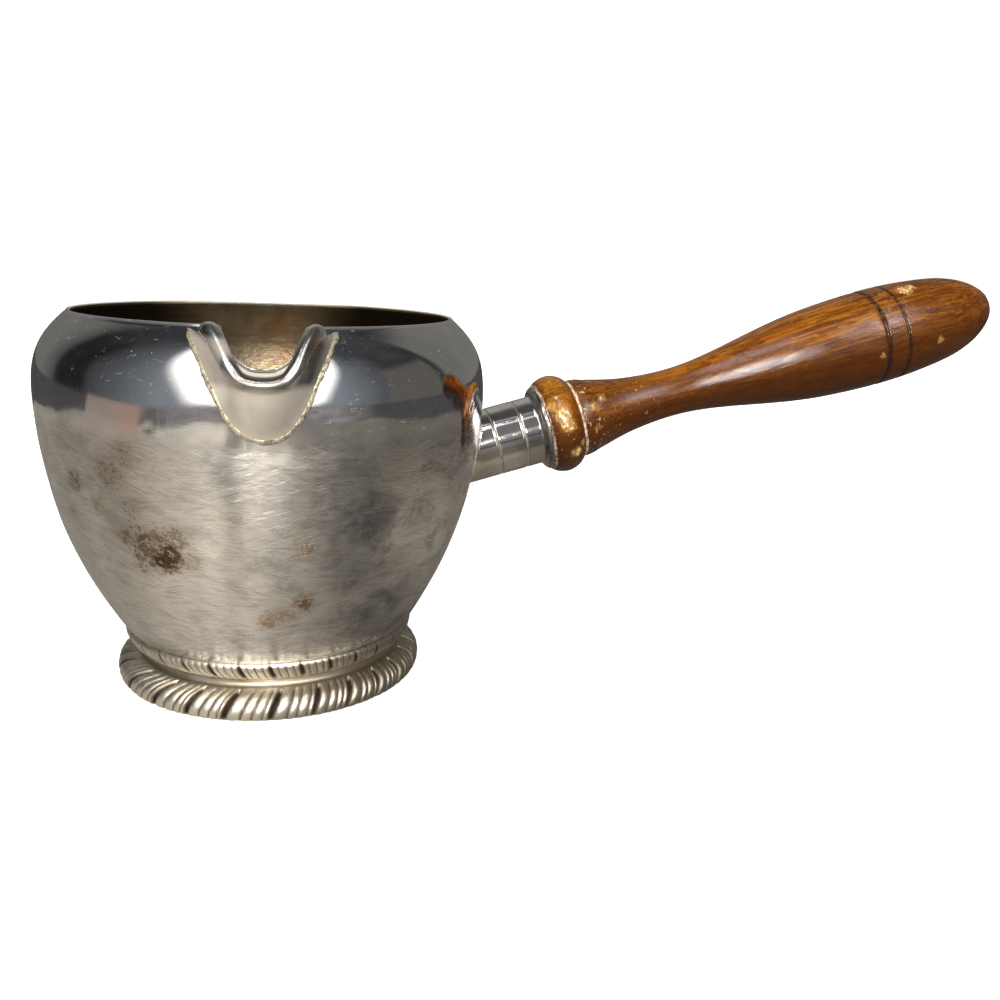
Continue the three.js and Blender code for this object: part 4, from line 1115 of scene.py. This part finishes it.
def make_foot():
    skirt = curve([(30.9, 0.0), (31.65, 0.35), (32.1, 1.0), (32.28, 1.8), (32.28, 2.5), (31.95, 3.5), (31.1, 4.35), (29.6, 4.95), (28.0, 5.3)], 10)
    neck = curve([(28.0, 5.3), (27.35, 5.55), (27.05, 6.0), (27.0, 6.5), (27.25, 7.0), (27.8, 7.35)], 10)
    leaf = curve([(27.8, 7.35), (28.6, 7.75), (29.5, 8.6), (30.2, 9.7), (30.46, 10.6), (30.36, 11.08), (30.08, 11.42)], 10)
    hidden = np.array([(29.86, 11.36), (29.3, 10.4), (28.1, 8.7), (26.9, 7.1), (25.9, 5.6), (26.3, 4.3), (27.4, 3.75), (28.4, 3.1), (29.1, 2.2),
                       (29.25, 1.2), (28.95, 0.35), (28.85, 0.0), (29.6, 0.0), (30.3, 0.0)])
    parts = [respaced(skirt, count=34), respaced(neck, count=9)[1:], respaced(leaf, count=22)[1:], hidden]
    line = np.vstack(parts)
    kinds = np.concatenate([np.full(len(q), k) for k, q in enumerate(parts)])
    ts = np.concatenate([np.linspace(0, 1, len(q) + (k in (1, 2)))[(k in (1, 2)):] for k, q in enumerate(parts)])
    cols = 1152
    deg = np.linspace(-180, 180, cols, endpoint=False)
    rad = np.radians(deg)
    tangent = np.roll(line, -1, 0) - np.roll(line, 1, 0)
    tangent /= np.linalg.norm(tangent, axis=1)[:, None]
    normal = np.stack([tangent[:, 1], -tangent[:, 0]], 1)
    v, cavity = [], []
    rim_wobble = 0.05 * np.sin(3 * rad + 1) + 0.04 * np.sin(7 * rad)
    for (r, z), kind, t, nn in zip(line, kinds, ts, normal):
        if kind == 0:
            depth, shut = gadroon(deg, np.full(cols, t))
        elif kind == 2:
            depth, shut = leaf_row(deg, np.full(cols, t))
        elif kind == 1:
            depth = np.zeros(cols)
            shut = np.full(cols, 0.50 * math.exp(-((t - 0.12) / 0.16) ** 2) + 0.55 * math.exp(-((t - 0.95) / 0.14) ** 2))
        else:
            depth, shut = np.zeros(cols), np.full(cols, 0.35)
        keep_flat = 0.0 if z <= 0.02 else 1.0
        rr = r - depth * nn[0] * keep_flat + rim_wobble * (kind < 3) * keep_flat * 0.6
        zz = np.maximum(z - depth * nn[1] * keep_flat, 0.0)
        v.append(np.stack([rr * np.cos(rad), rr * np.sin(rad), zz], 1))
        cavity.append(shut)
    v = np.vstack(v)
    f = grid_faces(len(line), cols, wrap_rows=True)
    return piece("foot_ring_cast", v, f, [MAT_CAST], attributes={"cavity": np.concatenate(cavity)})


foot = make_foot()
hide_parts("foot_ring")

a = np.radians(np.linspace(0, 360, 361))
fr, fz = 25.45, 4.75
ring_line = np.stack([fr * np.cos(a), fr * np.sin(a), np.full_like(a, fz)], 1)
ring_normal = np.stack([np.cos(a) * 0.62, np.sin(a) * 0.62, np.full_like(a, -0.78)], 1)
foot_seam = bead_along("foot_solder_bead", ring_line, ring_normal, 1.05, 0.42, MAT_FOOT_SOLDER, 33, sink=0.15, wave=0.3)
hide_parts("foot_solder")


# ---------------------------------------------------------------- socket
def on_handle(s, around, r):
    """Points round the handle line; around is 0 at the top and turns towards -Y."""
    return (np.array([0, 0, HANDLE_Z]) + np.outer(s, ALONG)
            + (np.asarray(r) * np.cos(around))[:, None] * OVER - (np.asarray(r) * np.sin(around))[:, None] * SIDE)


def meets_bowl(around, radius, extra=0.0):
    """Where a line along the handle at that radius leaves the bowl's outside surface."""
    lo, hi = np.full(len(around), 30.0), np.full(len(around), 60.0)
    for _ in range(40):
        mid = (lo + hi) / 2
        p = on_handle(mid, around, radius)
        inside = np.hypot(p[:, 0], p[:, 1]) < r_out(p[:, 2]) + extra
        lo, hi = np.where(inside, mid, lo), np.where(inside, hi, mid)
    return (lo + hi) / 2


def make_socket():
    cols = 160
    around = np.linspace(0, 2 * math.pi, cols, endpoint=False)
    start = meets_bowl(around, SOCKET_R)
    rows, marks = [], []
    flare = np.array([0.34, 0.20, 0.09, 0.03, 0.0])

    def ring(s, r, mark=0.0):
        s = np.broadcast_to(np.asarray(s, float), (cols,)).copy()
        r = np.broadcast_to(np.asarray(r, float), (cols,)).copy()
        # The pin sits in a small countersink on the underside.
        off = np.hypot(s - PIN_AT, (np.angle(np.exp(1j * (around - math.pi)))) * SOCKET_R)
        r = np.where(r > 7.0, r - 0.28 * smooth(1.12, 0.86, off), r)
        rows.append(on_handle(s, around, r))
        marks.append(np.full(cols, mark))

    ring(start - 0.5, SOCKET_R + 0.1)
    for k, fl in enumerate(flare):
        ring(start + 0.12 * k, SOCKET_R + fl)
    stations = [0.9]
    grid = np.arange(46.0, SOCKET_END - 0.3, 0.22)
    lines = sorted(set(np.round(np.concatenate([grid] + [q + np.array([-0.32, -0.2, -0.1, 0.0, 0.1, 0.2, 0.32]) for q in SOCKET_LINES]), 3)))
    keep = []
    for s in lines:
        if not keep or s - keep[-1] > 0.06:
            keep.append(s)
    for s in keep:
        if s < 46.0:
            continue
        share = (s - 46.0) / (SOCKET_END - 0.3 - 46.0)
        at = np.maximum(start + 0.6 + 0.004 * (s - 46), s)
        cutin, mark = np.zeros(cols), 0.0
        near = min(abs(s - q) for q in SOCKET_LINES)
        cutin = 0.20 * max(0.0, 1 - near / 0.30)
        mark = max(0.0, 1 - near / 0.36)
        ring(at, SOCKET_R - np.where(at > s + 1e-6, 0, cutin) + 0.012 * soft_noise(around * 1.0 + s * 0.3, 3, 4, 2), mark)
    # The end is spread into a shallow cup that hugs the handle's bead.
    for s, r in curve(CUP, 5):
        ring(s, r)
    ring(61.84, 9.40)
    ring(61.86, 9.31)
    for s, r in ((61.72, 8.95), (61.52, 8.45), (61.32, 7.9), (61.12, 7.1), (61.0, 6.7)):
        ring(s, r)
    ring(SOCKET_END - 1.0, 6.6)
    ring(np.maximum(start, 50.0), 6.6)
    ring(start + 0.2, 6.6)
    v = np.vstack(rows)
    n = len(rows)
    f = grid_faces(n, cols, wrap_rows=True)
    return piece("handle_socket_tube", v, f, [MAT_SOCKET], sharp=50, attributes={"mark": np.concatenate(marks)}), start, around


socket, socket_start, socket_around = make_socket()
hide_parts("handle_socket")

t = np.linspace(0, 2 * math.pi, 181)
at = meets_bowl(t, SOCKET_R + 0.22)
joint_line = on_handle(at, t, SOCKET_R + 0.22)
joint_normal = bowl_normal(joint_line) + (on_handle(at, t, SOCKET_R + 1.2) - joint_line) * 0.6
socket_seam = bead_along("socket_solder_bead", joint_line, joint_normal, 0.85, 0.24, MAT_SOCKET_SOLDER, 45)
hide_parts("socket_solder")


# ---------------------------------------------------------------- turned wooden handle and its pin
def make_handle():
    line = curve(HANDLE_PROFILE, 10)
    # Uneven rows: fine on the collar and at the turned lines, wider on the long curve.
    keep = []
    d = np.r_[0, np.cumsum(np.linalg.norm(np.diff(line, axis=0), axis=1))]
    pos = 0.0
    while pos < d[-1] - 0.02:
        s = np.interp(pos, d, line[:, 0])
        keep.append(pos)
        near = min(abs(s - q) for q, _ in BURNT_LINES)
        pos += 0.11 if near < 0.9 or 69.0 < s < 70.6 else (0.3 if s < 74 else (0.7 if s < 168 else 0.45))
    keep.append(d[-1])
    rows = np.stack([np.interp(keep, d, line[:, 0]), np.interp(keep, d, line[:, 1])], 1)[:-1]
    cols = 176
    around = np.linspace(0, 2 * math.pi, cols, endpoint=False)
    tenon = [(61.15, 6.3), (50.2, 6.3), (49.4, 6.0)]
    v = []
    for s, r in tenon[::-1]:
        v.append(on_handle(np.full(cols, s), around, np.full(cols, r)))
    for s, r in rows:
        sag = 0.035 * np.sin(2 * around + 0.03 * s + 0.4) + 0.02 * np.sin(3 * around - 0.07 * s + 1.1)
        sag = sag * smooth(0.5, 4, r)
        cut = 0.0
        for q, depth in BURNT_LINES:
            rough = 1 + 0.35 * soft_noise(around * 3, int(q), 5, 2)
            cut = cut + depth * rough * np.exp(-((s - q - 0.06 * np.sin(around * 2 + q)) / 0.26) ** 2)
        rr = r * 0.9945 + sag - cut
        v.append(on_handle(np.full(cols, s), around, rr))
    n = len(v)
    v = np.vstack(v + [on_handle(np.array([49.4]), np.array([0.0]), np.array([0.0])), on_handle(np.array([176.32]), np.array([0.0]), np.array([0.0]))])
    f = grid_faces(n, cols).tolist()
    for c in range(cols):
        f.append((n * cols, (c + 1) % cols, c))
        f.append((n * cols + 1, (n - 1) * cols + c, (n - 1) * cols + (c + 1) % cols))
    return piece("wooden_handle_turned", v, f, [MAT_WOOD], sharp=60)


handle = make_handle()
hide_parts("wooden_handle")


def make_pin():
    cols = 40
    around = np.linspace(0, 2 * math.pi, cols, endpoint=False)
    shape = [(2.2, 0.0), (2.2, 0.6), (2.4, 0.78), (7.3, 0.80), (7.42, 0.79), (7.50, 0.74), (7.57, 0.62), (7.62, 0.44), (7.645, 0.22), (7.65, 0.0)]
    base_at = np.array([0, 0, HANDLE_Z]) + ALONG * PIN_AT
    rows = []
    for out, r in shape[1:-1]:
        rows.append(base_at - OVER * out + np.outer(r * np.cos(around), ALONG) * (1 + 0.02 * math.sin(out)) + np.outer(r * np.sin(around), SIDE))
    n = len(rows)
    v = np.vstack(rows + [[base_at - OVER * shape[0][0]], [base_at - OVER * shape[-1][0]]])
    f = grid_faces(n, cols).tolist()
    for c in range(cols):
        f.append((n * cols, (c + 1) % cols, c))
        f.append((n * cols + 1, (n - 1) * cols + c, (n - 1) * cols + (c + 1) % cols))
    return piece("handle_pin_filed", v, f, [MAT_PIN])


pin = make_pin()
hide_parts("handle_pin")


# Faces of every piece point outwards.
import bmesh
for o in (bowl, lip, lip_seam, foot, foot_seam, socket, socket_seam, handle, pin):
    b = bmesh.new()
    b.from_mesh(o.data)
    if b.calc_volume(signed=True) < 0:
        bmesh.ops.reverse_faces(b, faces=b.faces)
        b.to_mesh(o.data)
    b.free()


# ---------------------------------------------------------------- floor
def make_floor():
    n, half = 64, 3.2
    u = np.linspace(-1, 1, n + 1)
    u = np.sign(u) * np.abs(u) ** 1.8 * half
    X, Y = np.meshgrid(u, u, indexing="ij")
    v = np.stack([X.ravel(), Y.ravel(), np.full(X.size, -0.00002)], 1)
    mesh = bpy.data.meshes.new("floor")
    mesh.from_pydata(v.tolist(), [], [tuple(q) for q in grid_faces(n + 1, n + 1, wrap_cols=False, flip=True).tolist()])
    m, g = material("floor_pale")
    t = g.new("ShaderNodeTexCoord")
    p = g.vec("SCALE", g.vec("SUBTRACT", t.outputs["Object"], tuple(AXIS * 0.001)), scale=1000.0)
    x, y, z = g.split(p)
    dist = g.math("SQRT", g.add(g.mul(x, x), g.mul(y, y)))
    turn_a = g.math("ARCTAN2", x, g.mul(y, -1.0))  # 0 straight in front, growing to the right
    deg = g.mul(turn_a, 57.2958)
    fold = g.noise(g.vec("MULTIPLY", p, (0.010, 0.010, 0.0)), 1.0, 3, 0.5, 0.6)
    edge = g.add(dist, g.mul(g.sub(fold, 0.5), 120.0))
    cloth = g.step(400.0, 380.0, edge)
    # What polished metal sees of the floor: a cream cloth, lit from the front left, darker towards the handle.
    lit = g.add(0.42, g.mul(g.band(deg, -82.0, -30.0, -16.0, 6.0), 0.32))
    lit = g.sub(lit, g.mul(g.band(deg, 0.0, 36.0, 115.0, 178.0), 0.20))
    patch = g.sub(g.mul(g.band(dist, 50.0, 82.0, 95.0, 160.0), 0.19), g.mul(g.step(130.0, 180.0, dist), 0.05))
    lit = g.add(lit, g.mul(g.band(deg, 46.0, 58.0, 90.0, 125.0), patch))
    lit = g.mul(lit, g.sub(1.0, g.mul(g.band(deg, -178.0, -112.0, -106.0, -86.0), 0.20)))
    streak = g.mul(g.band(deg, -33.0, -28.0, -23.0, -19.0), g.add(0.08, g.mul(g.band(dist, 40.0, 85.0, 135.0, 178.0), 0.30)))
    streak = g.add(streak, g.mul(g.band(deg, -9.0, -4.0, 2.0, 8.0), g.step(118.0, 175.0, dist), 0.62))
    streak = g.sub(streak, g.mul(g.band(deg, -22.0, -18.0, -15.0, -11.0), g.line(84.0, 120.0, 0.10, 0.46, dist)))
    lit = g.mul(lit, g.add(1.0, streak))
    lit = g.mul(lit, g.line(0.32, 0.68, 0.80, 1.14, fold))
    # Right by the foot the cloth on the right is in shade.
    lit = g.mul(lit, g.sub(1.0, g.mul(g.step(47.0, 36.0, dist), g.step(10.0, 60.0, deg), 0.40)))
    cream = g.mix(1.0, (0.82, 0.75, 0.64), g.join(lit, lit, lit), "MULTIPLY")
    ahead = g.band(deg, -62.0, -40.0, 30.0, 55.0)
    beyond = g.mix(g.noise(p, 0.006, 3, 0.5), (0.045, 0.044, 0.048), (0.085, 0.080, 0.082))
    beyond = g.mix(g.mul(ahead, g.line(0.35, 0.6, 0.25, 1.0, fold)), beyond, (0.30, 0.275, 0.280))
    board = g.mul(g.band(deg, -92.0, -91.0, -62.0, -54.0), g.step(255.0, 285.0, g.add(dist, g.mul(g.sub(fold, 0.5), 50.0))))
    seen = g.mix(cloth, beyond, cream)
    seen = g.mix(g.mul(board, 0.85), seen, g.mix(g.step(-80.0, -66.0, deg), (0.34, 0.275, 0.235), (0.40, 0.27, 0.215)))
    path = g.new("ShaderNodeLightPath")
    white = g.new("ShaderNodeBsdfDiffuse")
    white.inputs[0].default_value = (0.90, 0.90, 0.90, 1)
    glow = g.new("ShaderNodeEmission")
    g.put(glow.inputs[0], seen)
    glow.inputs[1].default_value = 1.0
    soft = g.new("ShaderNodeEmission")
    soft.inputs[0].default_value = (0.13, 0.118, 0.10, 1)
    mixer = g.new("ShaderNodeMixShader")
    g.put(mixer.inputs[0], path.outputs["Is Glossy Ray"])
    lift = g.new("ShaderNodeEmission")
    lift.inputs[0].default_value = (1, 1, 1, 1)
    lift.inputs[1].default_value = 0.38
    both = g.new("ShaderNodeAddShader")
    g.tree.links.new(white.outputs[0], both.inputs[0])
    g.tree.links.new(lift.outputs[0], both.inputs[1])
    g.tree.links.new(both.outputs[0], mixer.inputs[1])
    g.tree.links.new(glow.outputs[0], mixer.inputs[2])
    mixer2 = g.new("ShaderNodeMixShader")
    g.put(mixer2.inputs[0], path.outputs["Is Diffuse Ray"])
    g.tree.links.new(mixer.outputs[0], mixer2.inputs[1])
    g.tree.links.new(soft.outputs[0], mixer2.inputs[2])
    out = g.new("ShaderNodeOutputMaterial")
    g.tree.links.new(mixer2.outputs[0], out.inputs[0])
    mesh.materials.append(m)
    o = bpy.data.objects.new("floor", mesh)
    bpy.context.scene.collection.objects.link(o)


make_floor()


# ---------------------------------------------------------------- studio: a soft box in front, dark walls, pale backdrop
def make_world():
    world = bpy.data.worlds.new("studio")
    bpy.context.scene.world = world
    world.use_nodes = True
    g = Nodes(world.node_tree)
    t = g.new("ShaderNodeTexCoord")
    d = t.outputs["Generated"]
    x, y, z = g.split(d)
    el = g.mul(g.math("ARCSINE", z), 57.2958)
    az = g.mul(g.math("ARCTAN2", x, g.mul(y, -1.0)), 57.2958)  # 0 straight in front, growing to the right
    away = g.math("ABSOLUTE", az)
    cloud = g.noise(d, 3.0, 3, 0.5, 0.3)

    slate = g.mix(g.step(0.35, 0.65, cloud), (0.030, 0.031, 0.034), (0.052, 0.052, 0.055))
    rear = g.step(112.0, 140.0, away)
    colour = g.mix(rear, slate, (0.150, 0.146, 0.138))
    # Bluish haze on both sides of the soft box.
    left = g.math("POWER", g.line(-100.0, -52.0, 0.0, 1.0, az), 1.7)
    right = g.math("POWER", g.line(72.0, 34.0, 0.0, 1.0, az), 1.5)
    haze = g.mul(g.low(left, right), g.step(84.0, 40.0, el))
    colour = g.mix(haze, colour, (0.225, 0.245, 0.275))
    # A warm grey panel to the right, a pale one behind it.
    panel = g.mul(g.band(az, 58.0, 64.0, 97.0, 100.0), g.step(36.0, 26.0, el))
    colour = g.mix(g.mul(panel, 0.85), colour, (0.115, 0.108, 0.098))
    behind = g.mul(g.band(az, 101.0, 106.0, 175.0, 179.0), g.step(62.0, 40.0, el))
    colour = g.mix(g.mul(behind, 0.8), colour, (0.175, 0.172, 0.160))
    # Overhead.
    colour = g.mix(g.step(62.0, 78.0, el), colour, (0.070, 0.068, 0.064))
    back = g.mul(g.step(140.0, 165.0, away), g.band(el, 14.0, 26.0, 52.0, 66.0))
    colour = g.mix(back, colour, (0.36, 0.35, 0.33))
    # Dark flag to the left, with one thin bright gap.
    flag = g.mul(g.band(az, -124.0, -116.0, -100.0, -92.0), g.step(60.0, 36.0, el))
    colour = g.mix(g.mul(flag, 0.85), colour, (0.012, 0.012, 0.014))
    # Two soft boxes, blown out, with a dimmer gap between them crossed by two bright strips.
    edge_l, edge_r = g.add(az, g.mul(el, 0.45)), g.sub(az, g.mul(el, 0.35))
    box = g.mul(g.mul(g.step(-44.0, -31.0, edge_l), g.step(31.0, 21.0, edge_r)), g.band(el, -4.0, 4.0, 66.0, 79.0))
    colour = g.mix(box, colour, (1.90, 1.88, 1.84))
    gap = g.mul(g.band(az, -24.0, -17.0, 15.0, 20.0), g.step(78.0, 72.0, el))
    colour = g.mix(gap, colour, (0.185, 0.175, 0.185))
    low_gap = g.mul(gap, g.step(7.0, 2.0, el))
    colour = g.mix(low_gap, colour, (0.085, 0.080, 0.082))
    strip = g.mul(g.band(el, 17.0, 20.5, 22.5, 26.0), g.band(az, -30.0, -22.0, 20.0, 27.0))
    colour = g.mix(strip, colour, (0.40, 0.385, 0.38))
    strip = g.mul(g.band(el, 56.0, 58.0, 60.0, 62.0), g.band(az, -12.0, -9.0, 3.0, 9.0))
    colour = g.mix(strip, colour, (0.92, 0.90, 0.88))
    strip = g.mul(g.band(el, 54.0, 57.0, 63.0, 67.0), g.band(az, -27.0, -22.0, -14.0, -10.5))
    colour = g.mix(strip, colour, (36.0, 35.2, 34.2))
    hot = g.mul(g.band(el, 28.0, 34.0, 44.0, 50.0), g.band(az, 20.0, 23.0, 30.0, 34.0))
    colour = g.mix(hot, colour, (25.0, 24.5, 23.6))
    lamp = g.mul(g.band(el, 13.8, 15.4, 17.2, 18.8), g.band(az, -15.0, -10.0, 0.5, 3.2))
    colour = g.mix(lamp, colour, (300.0, 293.0, 283.0))

    path = g.new("ShaderNodeLightPath")
    # Diffuse light: softer, stronger from above and in front.
    amb = g.add(0.24, g.add(g.mul(g.step(-8.0, 70.0, el), 0.72), g.mul(box, 0.25)))
    diffuse = g.join(amb, amb, g.mul(amb, 0.985))
    colour = g.mix(path.outputs["Is Diffuse Ray"], colour, diffuse)
    colour = g.mix(path.outputs["Is Camera Ray"], colour, (1.0, 1.0, 1.0))
    bg = g.new("ShaderNodeBackground")
    g.put(bg.inputs[0], colour)
    out = g.new("ShaderNodeOutputWorld")
    g.tree.links.new(bg.outputs[0], out.inputs[0])


make_world()


def area(name, position, target, size, power, tint=(1, 1, 1)):
    data = bpy.data.lights.new(name, "AREA")
    data.shape = "DISK"
    data.size = size
    data.energy = power
    data.color = tint
    o = bpy.data.objects.new(name, data)
    bpy.context.scene.collection.objects.link(o)
    o.location = position
    direction = np.array(target) - np.array(position)
    from mathutils import Vector
    o.rotation_mode = "QUATERNION"
    o.rotation_quaternion = Vector(direction).to_track_quat("-Z", "Y")
    o.visible_glossy = False
    o.visible_camera = False
    return o


area("key_light", (-0.35, -0.55, 0.75), (-0.02, 0.0, 0.04), 0.55, 3.4, (1.0, 0.985, 0.96))

# ---------------------------------------------------------------- camera
FOCAL_PX = 986.927
rt = np.array([0.973825, -0.223646, 0.040597])
up = np.array([0.016112, 0.246076, 0.969117])
fwd = np.array([0.226729, 0.943096, -0.243238])
eye = (np.array([0.0, -211.764, 90.215]) + AXIS) * 0.001
cam_data = bpy.data.cameras.new("camera")
cam_data.sensor_width = 36.0
cam_data.lens = 36.0 * FOCAL_PX / 1000.0
cam_data.clip_start, cam_data.clip_end = 0.01, 50.0
camera = bpy.data.objects.new("camera", cam_data)
bpy.context.scene.collection.objects.link(camera)
camera.matrix_world = Matrix([
    [rt[0], up[0], -fwd[0], eye[0]],
    [rt[1], up[1], -fwd[1], eye[1]],
    [rt[2], up[2], -fwd[2], eye[2]],
    [0, 0, 0, 1],
])
bpy.context.scene.camera = camera

view = bpy.context.scene.view_settings
view.view_transform = "Standard"
view.look = "None"
view.exposure = 0.0
view.gamma = 1.0
